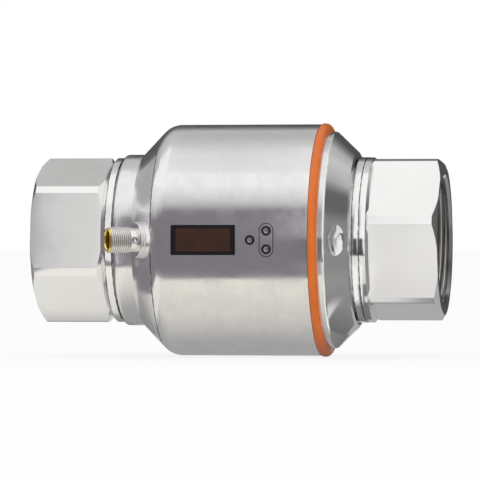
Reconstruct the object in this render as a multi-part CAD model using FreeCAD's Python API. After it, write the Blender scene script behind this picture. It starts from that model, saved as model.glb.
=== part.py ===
import FreeCAD
import Part

import math
import os

# Inline magnetic-inductive flow sensor with a pipe adapter at each end.
# Millimetres. +X is the flow axis, from inlet to outlet, the display faces -Y and +Z is up.
# The origin is on the flow axis at mid-length.

# Clearances
seat_gap = 0.05
thread_gap = 0.05
slide_gap = 0.05

# Body along the flow axis
body_length = 112.0
sheet = 2.0
shell_radius = 55.0
neck_radius = 40.8
neck_length = 9.1
cone_angle = 46.0
shoulder_round = 10.0
neck_round = 1.5
seam_width = 0.6
seam_depth = 0.35

# Outlet end cover and the ring that seals it
cover_length = 13.6
cover_step = 3.5
cover_land = 2.9
cover_round = 1.5
cover_end_radius = 41.2
cover_end_chamfer = 0.8
seal_width = 4.2
seal_crown = 0.45
seal_groove_depth = 2.2
spigot_land = 4.0
spigot_chamfer = 0.7

# Pressed dimple in the cover: its place, half its length along the slope, half its width across, its depth
dimple_from_end = 5.5
dimple_along = 5.2
dimple_across = 7.3
dimple_depth = 2.6

# Measuring tube, liner and gaskets
flow_radius = 24.0
liner_wall = 3.0
tube_wall = 2.75
tube_spigot = 12.0
gasket_thickness = 2.0
gasket_inset = 0.4

# Pipe adapters
adapter_length = 40.5
hex_across_flats = 70.0
hex_corner_trim = 1.1
hex_face_land = 0.6
hex_chamfer_angle = 30.0
collar_radius = 39.2
collar_width = 3.2
collar_bevel = 2.6
collar_edge = 0.3
groove_land = 1.2
joint_gap = 0.7
hub_radius = 36.0
port_radius = 29.8
port_mouth = 1.2
web_thickness = 3.0
web_step = 1.0
inlet_hex_turn = 37.3
outlet_hex_turn = 13.7

# Display window in the drum's front
window_length = 30.4
window_height = 14.0
window_from_shoulder = 7.4
window_round = 0.6
window_recess = 0.25
window_flange = 1.2
window_depth = 2.4
gasket_wall = 0.8

# Buttons: one by itself and a pair one above the other
button_from_window = 6.9
pair_from_single = 7.6
pair_pitch = 8.6
sleeve_radius = 2.25
sleeve_stand = 0.2
cap_radius = 1.45
cap_dish_depth = 0.35
cap_flange_radius = 2.4
cap_flange = 0.8
button_travel = 0.6
guide_depth = 2.6
guide_margin = 3.0
guide_gap = 0.1

# Circuit board, display module and switches
board_depth = 5.5
board_thickness = 1.6
board_left_margin = 4.2
board_right_margin = 3.4
board_height = 30.0
display_margin = 0.4
display_gap = 0.6
switch_size = 4.4
switch_height = 1.2
plunger_radius = 1.0
rail_length = 30.0
rail_width = 5.0
rail_centre = 11.5
screw_spacing = 24.0
screw_radius = 0.9
screw_head_radius = 1.8
screw_head = 1.1
screw_depth = 2.6

# Magnet system round the tube
yoke_clearance = 0.9
yoke_wall = 2.5
yoke_width = 36.0
shoe_wall = 2.2
shoe_length = 32.0
shoe_width = 40.0
core_radius = 7.0
bobbin_wall = 1.0
bobbin_radius = 11.5
coil_gap = 0.3
winding_inset = 0.5

# Electrodes, one at the front and one at the rear
electrode_radius = 2.0
electrode_stub = 1.5
bush_wall = 2.0
bush_stand = 3.2
nut_across_flats = 7.0
nut_height = 2.0

# Plug connector on the inlet cone
connector_tilt = 28.0
connector_from_neck = 7.1
connector_sink = 2.65
boss_radius = 8.4
boss_height = 4.45
boss_root = 3.0
boss_edge = 0.5
rib_groove_width = 0.5
rib_groove_depth = 0.4
rib_pitch = 1.3
rib_grooves = 2
thread_radius = 6.0
thread_length = 10.4
thread_edge = 0.7
relief_depth = 0.5
relief_length = 3.55
code_mark_radius = 1.2
code_mark_depth = 0.6
sleeve_wall = 1.45
socket_depth = 7.4
connector_tail = 4.0
insert_lining = 0.4
insert_key_width = 1.2
insert_key_height = 0.7
pin_radius = 0.5
pin_circle = 2.4
pin_count = 4
pin_reach = 5.4
first_pin_angle = 45.0
seal_wall = 0.9
seal_ring_width = 2.0

# Sizes that follow from the ones above
body_half = body_length / 2
tube_bore = flow_radius + liner_wall + seat_gap
tube_radius = tube_bore + tube_wall
tube_half = body_half + tube_spigot
tube_hole = tube_radius + seat_gap
neck_end = -body_half + neck_length
cone_slope = math.tan(math.radians(cone_angle))
shoulder_x = neck_end + (shell_radius - neck_radius) / cone_slope
seal_end = body_half - cover_length
shell_end = seal_end - seal_width
shell_bore = shell_radius - sheet
cover_radius = shell_radius - cover_step
groove_floor = cover_radius - seal_groove_depth
crest_x = seal_end + cover_land
cover_slope = math.atan2(cover_radius - cover_end_radius, body_half - crest_x)
spigot_start = shell_end - spigot_land
corner_circle = hex_across_flats / math.sqrt(3)
hex_corner_radius = corner_circle - hex_corner_trim
hex_face_radius = hex_across_flats / 2 + hex_face_land
groove_radius = hex_across_flats / 2 + groove_land
window_left = shoulder_x + window_from_shoulder
window_right = window_left + window_length
window_back = shell_bore - window_depth
single_button_x = window_right + button_from_window
pair_button_x = single_button_x + pair_from_single
guide_back = shell_bore - guide_depth
board_front = shell_bore - board_depth
board_back = board_front - board_thickness
yoke_radius = board_back - yoke_clearance
yoke_inner_radius = yoke_radius - yoke_wall
coil_foot = tube_hole + shoe_wall + seat_gap
coil_top = math.sqrt(yoke_inner_radius**2 - bobbin_radius**2) - coil_gap
nut_seat = tube_radius + bush_stand
connector_foot_x = neck_end + connector_from_neck
connector_foot_radius = neck_radius + connector_from_neck * cone_slope - connector_sink
relief_radius = thread_radius - relief_depth
socket_radius = thread_radius - sleeve_wall
connector_tip = boss_height + relief_length + thread_length
socket_floor = connector_tip - socket_depth
lining_radius = socket_radius - seat_gap
far = 2 * shell_radius
full_turn = 360.0
hex_sides = 6
same_point = 1e-6


def along(angle):
    """Cosine and sine of an angle in degrees."""
    return math.cos(math.radians(angle)), math.sin(math.radians(angle))


def rounded_wire(corners):
    """Closed wire in the XZ plane through (x, radius, rounding) corners, each rounding a true arc."""
    points = [FreeCAD.Vector(x, 0, r) for x, r, _ in corners]
    edges = []
    starts = []
    ends = []
    for index, corner in enumerate(points):
        before = (points[index - 1] - corner).normalize()
        after = (points[(index + 1) % len(points)] - corner).normalize()
        rounding = corners[index][2]
        half = before.getAngle(after) / 2
        setback = rounding / math.tan(half)
        starts.append(corner + before * setback)
        ends.append(corner + after * setback)
        if rounding > 0:
            middle = corner + (before + after).normalize() * (rounding / math.sin(half) - rounding)
            edges.append(Part.Arc(starts[-1], middle, ends[-1]).toShape())
    for index, end in enumerate(ends):
        start = starts[(index + 1) % len(points)]
        if end.distanceToPoint(start) > same_point:
            edges.append(Part.LineSegment(end, start).toShape())
    return Part.Wire(Part.__sortEdges__(edges))


def turned(corners):
    """Solid of revolution about the X axis from (x, radius) or (x, radius, rounding) corners."""
    full = [corner if len(corner) == 3 else (*corner, 0.0) for corner in corners]
    face = Part.Face(rounded_wire(full))
    return face.revolve(FreeCAD.Vector(), FreeCAD.Vector(1, 0, 0), full_turn)


def inner_path(path, wall):
    """Open path shifted by the wall to its right hand, with only its wide bends rounded."""
    directions = []
    for (x0, r0, _), (x1, r1, _) in zip(path, path[1:]):
        length = math.hypot(x1 - x0, r1 - r0)
        directions.append(((x1 - x0) / length, (r1 - r0) / length))
    shifted = []
    for index, (x, r, rounding) in enumerate(path):
        ux, ur = directions[max(index - 1, 0)]
        vx, vr = directions[min(index, len(directions) - 1)]
        share = wall / (1 + ux * vx + ur * vr)
        inside = rounding - wall if rounding > 2 * wall else 0.0
        shifted.append((x + (ur + vr) * share, r - (ux + vx) * share, inside))
    return shifted


def bent_sheet(path, wall):
    """Turned sheet of even thickness whose outside follows the path."""
    return turned(path + inner_path(path, wall)[::-1])


def ring(x_from, x_to, inner, outer):
    """Plain ring about the flow axis."""
    return turned([(x_from, inner), (x_from, outer), (x_to, outer), (x_to, inner)])


def axle(x_from, x_to, radius):
    """Plain cylinder along the flow axis."""
    return Part.makeCylinder(radius, x_to - x_from, FreeCAD.Vector(x_from, 0, 0), FreeCAD.Vector(1, 0, 0))


def front_rod(x, z, depth_from, depth_to, radius):
    """Cylinder that points at the display side, between two distances from the axis plane."""
    base = FreeCAD.Vector(x, -depth_from, z)
    return Part.makeCylinder(radius, depth_to - depth_from, base, FreeCAD.Vector(0, -1, 0))


def front_block(x_from, x_to, height, depth_from, depth_to, z=0.0):
    """Box at the display side, between two distances from the axis plane, centred on height z."""
    corner = FreeCAD.Vector(x_from, -depth_to, z - height / 2)
    return Part.makeBox(x_to - x_from, depth_to - depth_from, height, corner)


def rounded_block(x_from, x_to, height, depth_from, depth_to, rounding):
    """Front block with its four edges along Y rounded."""
    block = front_block(x_from, x_to, height, depth_from, depth_to)
    upright = [edge for edge in block.Edges if edge.BoundBox.YLength > same_point]
    return block.makeFillet(rounding, upright)


def mirrored(shape):
    """The same piece at the other end of the flow axis."""
    return shape.mirror(FreeCAD.Vector(), FreeCAD.Vector(1, 0, 0))


def half_turned(shape):
    """The same piece on the other side of the flow axis."""
    copy = shape.copy()
    copy.rotate(FreeCAD.Vector(), FreeCAD.Vector(1, 0, 0), 180)
    return copy


def on_connector(shape):
    """Moves a piece made along X to the connector's tilted axis, its +Y to the outer side."""
    foot = FreeCAD.Vector(connector_foot_x, -connector_foot_radius, 0)
    turn = FreeCAD.Rotation(FreeCAD.Vector(0, 0, 1), 180 + connector_tilt)
    copy = shape.copy()
    copy.Placement = FreeCAD.Placement(foot, turn).multiply(copy.Placement)
    return copy


def front_reach(z):
    """Distance of the drum's front surface from the axis plane at height z."""
    return math.sqrt(shell_radius**2 - z**2)


button_places = {
    "button_enter": (single_button_x, 0.0),
    "button_up": (pair_button_x, pair_pitch / 2),
    "button_down": (pair_button_x, -pair_pitch / 2),
}


def shoulder_seam():
    """Shallow ring of V section on the line where the cone runs into the rolled shoulder."""
    across, up = along(cone_angle)
    setback = shoulder_round * math.tan(math.radians(cone_angle) / 2)
    line_x = shoulder_x - setback * across
    line_radius = shell_radius - setback * up
    corners = []
    for slide, rise in ((-seam_width, seam_depth), (0.0, -seam_depth), (seam_width, seam_depth)):
        corners.append((line_x + slide * across - rise * up, line_radius + slide * up + rise * across))
    return turned(corners)


def housing_shell():
    """Drawn drum: end wall, rounded neck, cone, seam, rolled shoulder, open outlet end and its cut-outs."""
    outside = [
        (-body_half, tube_hole, 0.0),
        (-body_half, neck_radius, neck_round),
        (neck_end, neck_radius, 0.0),
        (shoulder_x, shell_radius, shoulder_round),
        (shell_end, shell_radius, 0.0),
    ]
    shell = bent_sheet(outside, sheet)
    opening = rounded_block(window_left, window_right, window_height, board_front, far, window_round)
    holes = [
        front_rod(x, z, board_front, far, sleeve_radius + seat_gap) for x, z in button_places.values()
    ]
    boss_seat = on_connector(axle(-boss_radius, 2 * boss_radius, boss_radius + seat_gap))
    return shell.cut([opening, boss_seat, shoulder_seam()] + holes)


def cover_path():
    """Outside of the end cover from the seal over the rounded crest and the cone to the end wall."""
    return [
        (seal_end, cover_radius, 0.0),
        (crest_x, cover_radius, cover_round),
        (body_half - cover_end_chamfer, cover_end_radius + cover_end_chamfer * math.tan(cover_slope), 0.0),
        (body_half, cover_end_radius - cover_end_chamfer, 0.0),
        (body_half, 0.0, 0.0),
    ]


def dimple(grown):
    """Lens-shaped punch lying across the cone: an arc turned about a level axis outside the cover."""
    centre_radius = cover_end_radius + dimple_from_end * math.tan(cover_slope)
    height = (dimple_along**2 - dimple_depth**2) / (2 * dimple_depth)
    middle = height + dimple_depth + grown
    fall = dimple_across**2 * math.cos(cover_slope) / (2 * centre_radius)
    narrowing = dimple_depth - fall
    arc_radius = (dimple_across**2 + narrowing**2) / (2 * narrowing)
    edge = height / 2
    reach = math.sqrt(arc_radius**2 - (arc_radius - middle + edge) ** 2)
    low_corner = FreeCAD.Vector(edge, 0, -reach)
    high_corner = FreeCAD.Vector(edge, 0, reach)
    axis_points = [high_corner, FreeCAD.Vector(0, 0, reach), FreeCAD.Vector(0, 0, -reach), low_corner]
    outline = [Part.LineSegment(*pair).toShape() for pair in zip(axis_points, axis_points[1:])]
    outline.append(Part.Arc(low_corner, FreeCAD.Vector(middle, 0, 0), high_corner).toShape())
    punch = Part.Face(Part.Wire(outline)).revolve(FreeCAD.Vector(), FreeCAD.Vector(0, 0, 1), full_turn)
    across_slope = FreeCAD.Vector(math.sin(cover_slope), -math.cos(cover_slope), 0)
    punch.translate(FreeCAD.Vector(body_half - dimple_from_end, -centre_radius, 0) + across_slope * height)
    return punch


def end_cover():
    """Pressed cover: spigot inside the drum, seal groove, crest, cone with the dimple, and end wall."""
    outside = cover_path()
    spigot = [
        (spigot_start, 0.0),
        (spigot_start, shell_bore - seat_gap - spigot_chamfer),
        (spigot_start + spigot_chamfer, shell_bore - seat_gap),
        (shell_end, shell_bore - seat_gap),
        (shell_end, groove_floor),
        (seal_end, groove_floor),
    ]
    blank = turned(spigot + outside)
    inside = inner_path(outside, sheet)
    hollow = turned([(spigot_start, 0.0), (spigot_start, inside[0][1])] + inside)
    hollow = hollow.common(axle(spigot_start, body_half, groove_floor - sheet))
    cover = blank.cut([hollow, axle(spigot_start, body_half, tube_hole)])
    pressed = dimple(sheet).common(blank)
    return cover.fuse(pressed).removeSplitter().cut(dimple(0.0))


def seal_ring():
    """Ring with a low round crown outside, lying in the cover's groove with its outlet flank open."""
    foot = groove_floor + seat_gap
    corners = [(shell_end, shell_radius), (shell_end, foot), (seal_end, foot), (seal_end, shell_radius)]
    points = [FreeCAD.Vector(x, 0, r) for x, r in corners]
    crown = FreeCAD.Vector((shell_end + seal_end) / 2, 0, shell_radius + seal_crown)
    edges = [Part.LineSegment(*pair).toShape() for pair in zip(points, points[1:])]
    edges.append(Part.Arc(points[-1], crown, points[0]).toShape())
    face = Part.Face(Part.Wire(edges))
    return face.revolve(FreeCAD.Vector(), FreeCAD.Vector(1, 0, 0), full_turn)


def flow_tube():
    """Measuring tube that carries the body, with a hole for each electrode bush."""
    tube = ring(-tube_half, tube_half, tube_bore, tube_radius)
    bush_hole = electrode_radius + bush_wall + 2 * seat_gap
    return tube.cut(front_rod(0, 0, -far, far, bush_hole))


def tube_liner():
    """Insulating lining of the tube, pierced by the electrodes."""
    liner = ring(-tube_half, tube_half, flow_radius, flow_radius + liner_wall)
    return liner.cut(front_rod(0, 0, -far, far, electrode_radius + seat_gap))


def tube_gasket():
    """Flat gasket between the tube's outlet end and the adapter's web."""
    inner = flow_radius + gasket_inset
    outer = tube_radius - gasket_inset
    return ring(tube_half, tube_half + gasket_thickness, inner, outer)


def pipe_adapter(hex_turn):
    """Turned hexagon with chamfered ends, a bevelled collar, a tube seat and an outer port."""
    face = body_half
    outer_end = face + adapter_length
    collar_face = face + joint_gap
    collar_end = collar_face + collar_width
    groove_x = collar_end + collar_bevel
    chamfer = math.tan(math.radians(hex_chamfer_angle))
    blank = turned([
        (groove_x, 0.0),
        (groove_x, groove_radius),
        (groove_x + (hex_corner_radius - groove_radius) * chamfer, hex_corner_radius),
        (outer_end - (hex_corner_radius - hex_face_radius) * chamfer, hex_corner_radius),
        (outer_end, hex_face_radius),
        (outer_end, 0.0),
    ])
    corners = []
    for index in range(hex_sides + 1):
        across, up = along(hex_turn + full_turn / hex_sides * index)
        corners.append(FreeCAD.Vector(groove_x, -corner_circle * across, corner_circle * up))
    prism = Part.Face(Part.makePolygon(corners)).extrude(FreeCAD.Vector(outer_end - groove_x, 0, 0))
    collar = turned([
        (face, 0.0),
        (face, hub_radius),
        (collar_face, hub_radius),
        (collar_face, collar_radius - collar_edge),
        (collar_face + collar_edge, collar_radius),
        (collar_end, collar_radius),
        (groove_x, groove_radius),
        (groove_x, 0.0),
    ])
    body = blank.common(prism).fuse(collar).removeSplitter()
    web_start = tube_half + gasket_thickness
    web_end = web_start + web_thickness
    hollow = turned([
        (face - sheet, 0.0),
        (face - sheet, tube_radius + thread_gap),
        (web_start, tube_radius + thread_gap),
        (web_start, flow_radius + web_step),
        (web_end, flow_radius + web_step),
        (web_end, port_radius),
        (outer_end - port_mouth, port_radius),
        (outer_end + port_mouth, port_radius + 2 * port_mouth),
        (outer_end + port_mouth, 0.0),
    ])
    return body.cut(hollow)


def display_window():
    """Window pane that stands in the drum's opening, with a flange behind the wall."""
    pane = rounded_block(
        window_left + seat_gap,
        window_right - seat_gap,
        window_height - 2 * seat_gap,
        window_back,
        far,
        window_round,
    )
    pane = pane.common(axle(-body_half, body_half, shell_radius - window_recess))
    flange = front_block(
        window_left - window_flange,
        window_right + window_flange,
        window_height + 2 * window_flange,
        window_back,
        shell_radius,
    )
    flange = flange.common(axle(-body_half, body_half, shell_bore - gasket_wall - 2 * seat_gap))
    return pane.fuse(flange).removeSplitter()


def window_gasket():
    """Curved frame between the window's flange and the drum's wall."""
    frame = front_block(
        window_left - window_flange,
        window_right + window_flange,
        window_height + 2 * window_flange,
        board_front,
        shell_radius,
    )
    outer = shell_bore - seat_gap
    frame = frame.common(ring(-body_half, body_half, outer - gasket_wall, outer))
    return frame.cut(front_block(window_left, window_right, window_height, board_front, far))


def button_guide():
    """Plate behind the drum's wall with a sleeve through the wall for each button."""
    plate = front_block(
        single_button_x - guide_margin,
        pair_button_x + guide_margin,
        pair_pitch + 2 * guide_margin,
        guide_back,
        shell_radius,
    )
    guide = plate.common(axle(-body_half, body_half, shell_bore - guide_gap))
    outside = axle(-body_half, body_half, shell_radius + sleeve_stand)
    sleeves = []
    bores = []
    for x, z in button_places.values():
        sleeves.append(front_rod(x, z, guide_back, far, sleeve_radius).common(outside))
        bores.append(front_rod(x, z, board_front, far, cap_radius + slide_gap))
    return guide.fuse(sleeves).removeSplitter().cut(bores)


def button_cap(x, z):
    """Cap with a dished end, held in by its flange behind the guide."""
    top = front_reach(z)
    flange_front = guide_back - slide_gap
    stem = front_rod(x, z, flange_front, top, cap_radius)
    flange = front_rod(x, z, flange_front - cap_flange, flange_front, cap_flange_radius)
    dish_radius = (cap_radius**2 + cap_dish_depth**2) / (2 * cap_dish_depth)
    dish_centre = FreeCAD.Vector(x, -(top + dish_radius - cap_dish_depth), z)
    return stem.fuse(flange).cut(Part.makeSphere(dish_radius, dish_centre))


def screw_places():
    """Centres of the board's two screws, one on each rail at opposite ends."""
    half = screw_spacing / 2
    return [(-half, rail_centre), (half, -rail_centre)]


def main_board():
    """Circuit board with its screw holes."""
    left = window_left - board_left_margin
    right = pair_button_x + board_right_margin
    board = front_block(left, right, board_height, board_back, board_front)
    return board.cut([front_rod(x, z, 0, far, screw_radius + seat_gap) for x, z in screw_places()])


def board_rail(side):
    """Rail between the board and the yoke, above or below the axis."""
    half = rail_length / 2
    rail = front_block(-half, half, rail_width, yoke_inner_radius / 2, board_back, side * rail_centre)
    rail = rail.cut(axle(-body_half, body_half, yoke_radius + seat_gap))
    return rail.cut([front_rod(x, z, 0, far, screw_radius + seat_gap) for x, z in screw_places()])


def board_screws():
    """Screws that hold the board on its rails."""
    screws = []
    for x, z in screw_places():
        shank = front_rod(x, z, board_front - screw_depth, board_front, screw_radius)
        head = front_rod(x, z, board_front, board_front + screw_head, screw_head_radius)
        screws.append(shank.fuse(head))
    return Part.makeCompound(screws)


def display_module():
    """Display block on the board, behind the window."""
    return front_block(
        window_left + display_margin,
        window_right - display_margin,
        window_height - 2 * display_margin,
        board_front,
        window_back - display_gap,
    )


def tactile_switches():
    """One switch on the board behind each button, its plunger clear of the pressed cap."""
    half = switch_size / 2
    plunger_top = guide_back - 2 * slide_gap - cap_flange - button_travel
    switches = []
    for x, z in button_places.values():
        case = front_block(x - half, x + half, switch_size, board_front, board_front + switch_height, z)
        plunger = front_rod(x, z, board_front, plunger_top, plunger_radius)
        switches.append(case.fuse(plunger).removeSplitter())
    return Part.makeCompound(switches)


def return_yoke():
    """Iron band round the coils."""
    return ring(-yoke_width / 2, yoke_width / 2, yoke_inner_radius, yoke_radius)


def pole_shoe():
    """Saddle on top of the tube with the coil's core standing on it."""
    saddle = ring(-shoe_length / 2, shoe_length / 2, tube_hole, tube_hole + shoe_wall)
    above = Part.makeBox(shoe_length, shoe_width, far, FreeCAD.Vector(-shoe_length / 2, -shoe_width / 2, 0))
    core_foot = tube_hole + shoe_wall / 2
    core = Part.makeCylinder(core_radius, far, FreeCAD.Vector(0, 0, core_foot))
    core = core.common(axle(-body_half, body_half, yoke_inner_radius - seat_gap))
    return saddle.common(above).fuse(core).removeSplitter()


def coil_ring(inner, outer, foot, top):
    """Ring about the vertical coil axis."""
    base = FreeCAD.Vector(0, 0, foot)
    return Part.makeCylinder(outer, top - foot, base).cut(Part.makeCylinder(inner, top - foot, base))


def coil_bobbin():
    """Flanged bobbin on the core of the upper pole shoe."""
    inner = core_radius + seat_gap
    hub = coil_ring(inner, inner + bobbin_wall, coil_foot, coil_top)
    flanges = [
        coil_ring(inner, bobbin_radius, coil_foot, coil_foot + bobbin_wall),
        coil_ring(inner, bobbin_radius, coil_top - bobbin_wall, coil_top),
    ]
    return hub.fuse(flanges).removeSplitter()


def coil_winding():
    """Winding between the bobbin's flanges."""
    margin = bobbin_wall + seat_gap
    inner = core_radius + bobbin_wall + 2 * seat_gap
    return coil_ring(inner, bobbin_radius - winding_inset, coil_foot + margin, coil_top - margin)


def electrode():
    """Front electrode, its inner end flush with the flow bore."""
    rod = front_rod(0, 0, 0, nut_seat + nut_height + electrode_stub, electrode_radius)
    return rod.cut(axle(-body_half, body_half, flow_radius))


def electrode_bush():
    """Insulating bush of the front electrode, between the liner and the nut."""
    inner = electrode_radius + seat_gap
    outer = inner + bush_wall
    bush = front_rod(0, 0, 0, nut_seat, outer)
    bush = bush.cut(front_rod(0, 0, 0, far, inner))
    return bush.cut(axle(-body_half, body_half, flow_radius + liner_wall + seat_gap))


def electrode_nut():
    """Hexagon nut that clamps the front electrode."""
    corner = nut_across_flats / math.sqrt(3)
    corners = []
    for index in range(hex_sides + 1):
        across, up = along(full_turn / hex_sides * index)
        corners.append(FreeCAD.Vector(corner * across, -nut_seat, corner * up))
    nut = Part.Face(Part.makePolygon(corners)).extrude(FreeCAD.Vector(0, -nut_height, 0))
    return nut.cut(front_rod(0, 0, 0, far, electrode_radius + thread_gap))


def connector_boss():
    """Welded bush on the cone with fine turned ribs and a groove for the seal inside."""
    bore = relief_radius + thread_gap
    outline = [
        (-boss_root, bore),
        (-boss_root, boss_radius),
    ]
    for index in range(rib_grooves, 0, -1):
        groove = boss_height - index * rib_pitch
        outline += [
            (groove, boss_radius),
            (groove, boss_radius - rib_groove_depth),
            (groove + rib_groove_width, boss_radius - rib_groove_depth),
            (groove + rib_groove_width, boss_radius),
        ]
    outline += [
        (boss_height - boss_edge, boss_radius),
        (boss_height, boss_radius - boss_edge),
        (boss_height, bore),
        (seal_ring_width / 2, bore),
        (seal_ring_width / 2, bore + seal_wall),
        (-seal_ring_width / 2, bore + seal_wall),
        (-seal_ring_width / 2, bore),
    ]
    return on_connector(turned(outline))


def connector_seal():
    """Seal between the boss and the plug sleeve."""
    bore = relief_radius + thread_gap
    return on_connector(ring(-seal_ring_width / 2, seal_ring_width / 2, bore, bore + seal_wall - seat_gap))


def connector_body():
    """Plug sleeve: its plain end in the boss with the coding mark outside, and the thread's cylinder."""
    thread_start = boss_height + relief_length
    sleeve = turned([
        (-connector_tail, socket_radius),
        (-connector_tail, relief_radius),
        (thread_start, relief_radius),
        (thread_start, thread_radius),
        (connector_tip - thread_edge, thread_radius),
        (connector_tip, thread_radius - thread_edge),
        (connector_tip, socket_radius),
    ])
    mark_radius = relief_radius + code_mark_radius - code_mark_depth
    mark_place = FreeCAD.Vector(boss_height + relief_length / 2, mark_radius, 0)
    mark = Part.makeSphere(code_mark_radius, mark_place)
    return on_connector(sleeve.cut(mark))


def pin_centres():
    """Places of the contact pins on their circle."""
    places = []
    for index in range(pin_count):
        across, up = along(first_pin_angle + full_turn / pin_count * index)
        places.append((pin_circle * across, pin_circle * up))
    return places


def connector_insert():
    """Contact carrier that fills the sleeve behind the socket, drilled for the pins."""
    carrier = axle(-connector_tail, socket_floor, lining_radius)
    holes = []
    for across, up in pin_centres():
        base = FreeCAD.Vector(-2 * connector_tail, across, up)
        holes.append(Part.makeCylinder(pin_radius + seat_gap, far, base, FreeCAD.Vector(1, 0, 0)))
    return on_connector(carrier.cut(holes))


def connector_lining():
    """Thin lining of the socket with its coding key, standing on the carrier."""
    inner = lining_radius - insert_lining
    rim = connector_tip - thread_edge
    lining = ring(socket_floor, rim, inner, lining_radius)
    key = Part.makeBox(
        rim - socket_floor,
        insert_key_height + insert_lining / 2,
        insert_key_width,
        FreeCAD.Vector(socket_floor, inner - insert_key_height, -insert_key_width / 2),
    )
    return on_connector(lining.fuse(key).removeSplitter())


def connector_pins():
    """Contact pins standing in the socket."""
    pins = []
    for across, up in pin_centres():
        pin = axle(-connector_tail, socket_floor + pin_reach, pin_radius)
        pin.translate(FreeCAD.Vector(0, across, up))
        pins.append(on_connector(pin))
    return Part.makeCompound(pins)


def all_pieces():
    """Every node's name with its shape."""
    pieces = {
        "housing_shell": housing_shell(),
        "end_cover": end_cover(),
        "seal_ring": seal_ring(),
        "flow_tube": flow_tube(),
        "tube_liner": tube_liner(),
        "inlet_gasket": mirrored(tube_gasket()),
        "outlet_gasket": tube_gasket(),
        "inlet_adapter": mirrored(pipe_adapter(inlet_hex_turn)),
        "outlet_adapter": pipe_adapter(outlet_hex_turn),
        "display_window": display_window(),
        "window_gasket": window_gasket(),
        "button_guide": button_guide(),
        "main_board": main_board(),
        "upper_board_rail": board_rail(1),
        "lower_board_rail": board_rail(-1),
        "board_screws": board_screws(),
        "display_module": display_module(),
        "tactile_switches": tactile_switches(),
        "return_yoke": return_yoke(),
        "upper_pole_shoe": pole_shoe(),
        "lower_pole_shoe": half_turned(pole_shoe()),
        "upper_bobbin": coil_bobbin(),
        "lower_bobbin": half_turned(coil_bobbin()),
        "upper_winding": coil_winding(),
        "lower_winding": half_turned(coil_winding()),
        "front_electrode": electrode(),
        "rear_electrode": half_turned(electrode()),
        "front_electrode_bush": electrode_bush(),
        "rear_electrode_bush": half_turned(electrode_bush()),
        "electrode_nuts": Part.makeCompound([electrode_nut(), half_turned(electrode_nut())]),
        "connector_boss": connector_boss(),
        "connector_seal": connector_seal(),
        "connector_body": connector_body(),
        "connector_insert": connector_insert(),
        "connector_lining": connector_lining(),
        "connector_pins": connector_pins(),
    }
    for name, (x, z) in button_places.items():
        pieces[name] = button_cap(x, z)
    return pieces


os.makedirs("parts", exist_ok=True)
for node, shape in all_pieces().items():
    shape.exportStep(f"parts/{node}.step")
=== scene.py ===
import logging
import math
from dataclasses import dataclass
from enum import Enum
from typing import Optional, Sequence, Union

import bmesh
import bpy
import numpy as np
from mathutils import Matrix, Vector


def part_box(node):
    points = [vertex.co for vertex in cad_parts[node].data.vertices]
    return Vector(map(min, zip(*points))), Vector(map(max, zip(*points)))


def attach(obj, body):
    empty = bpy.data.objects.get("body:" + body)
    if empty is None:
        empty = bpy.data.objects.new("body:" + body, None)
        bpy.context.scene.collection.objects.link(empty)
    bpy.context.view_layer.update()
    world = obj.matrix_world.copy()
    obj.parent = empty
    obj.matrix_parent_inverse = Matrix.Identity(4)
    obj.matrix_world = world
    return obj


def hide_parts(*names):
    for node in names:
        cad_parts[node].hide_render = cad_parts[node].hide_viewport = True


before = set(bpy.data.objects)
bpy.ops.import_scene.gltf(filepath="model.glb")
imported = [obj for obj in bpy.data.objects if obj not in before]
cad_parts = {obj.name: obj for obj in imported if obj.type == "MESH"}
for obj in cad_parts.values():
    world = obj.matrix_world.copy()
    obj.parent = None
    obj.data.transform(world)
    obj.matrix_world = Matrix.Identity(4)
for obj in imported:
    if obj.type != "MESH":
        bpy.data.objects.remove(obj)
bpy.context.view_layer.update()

LOG = logging.getLogger("flow_sensor")
Array = np.ndarray
Pair = tuple[float, float]
Color = tuple[float, float, float]
Vector3 = tuple[float, float, float]
Four = tuple[float, float, float, float]
Run = Sequence[Pair]
Stops = Sequence[tuple[float, Color]]
Node = bpy.types.Node
Piece = bpy.types.Object
Socket = bpy.types.NodeSocket
Tree = bpy.types.NodeTree
Inputs = dict[Union[str, int], object]
MM = 0.001
TAU = 2 * math.pi
CREASE = 32.0
SOFT_CREASE = 50.0
THREAD_CREASE = 60.0
LARGE_STEPS = 256
ARC_SLACK = 0.01
DEPTH = "depth"
WELD = 2e-7
NOISE_RANGE = (0.3, 0.7)
GLOSS_RANGE = (0.25, 0.75)
# Noise that makes the painted shade in seams uneven.
SEAM_SHADE_SCALE = 420.0
SEAM_SHADE_UNEVEN = (0.45, 1.5)
# Noise and depths for the painted shade in grooves.
GROOVE_SHADE_SCALE = 300.0
GROOVE_SHADE_UNEVEN = (0.75, 1.2)
GROOVE_SHADE_DEPTHS = (0.2, 0.75)
COARSE_SHARE = 0.2


def grey(level: float) -> Color:
    """A neutral colour of one level."""
    return (level, level, level)


def even(color: Color) -> Stops:
    """Stops of one colour throughout."""
    return [(0.0, color), (1.0, color)]


def greys(*levels: Pair) -> Stops:
    """Neutral stops from pairs of place and level."""
    return [(place, grey(level)) for place, level in levels]


def about(middle: float, change: float) -> Pair:
    """The range from a change below the middle to a change above it."""
    return (middle - change, middle + change)


def rectangle(half_width: float, half_height: float) -> Run:
    """Corners of a rectangle about the origin, from the lower left round by the lower right."""
    signs = [(-1, -1), (1, -1), (1, 1), (-1, 1)]
    return [(across * half_width, up * half_height) for across, up in signs]


def opaque(color: Color) -> Four:
    """The colour with full alpha, as node sockets take it."""
    return (*color, 1.0)


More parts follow.
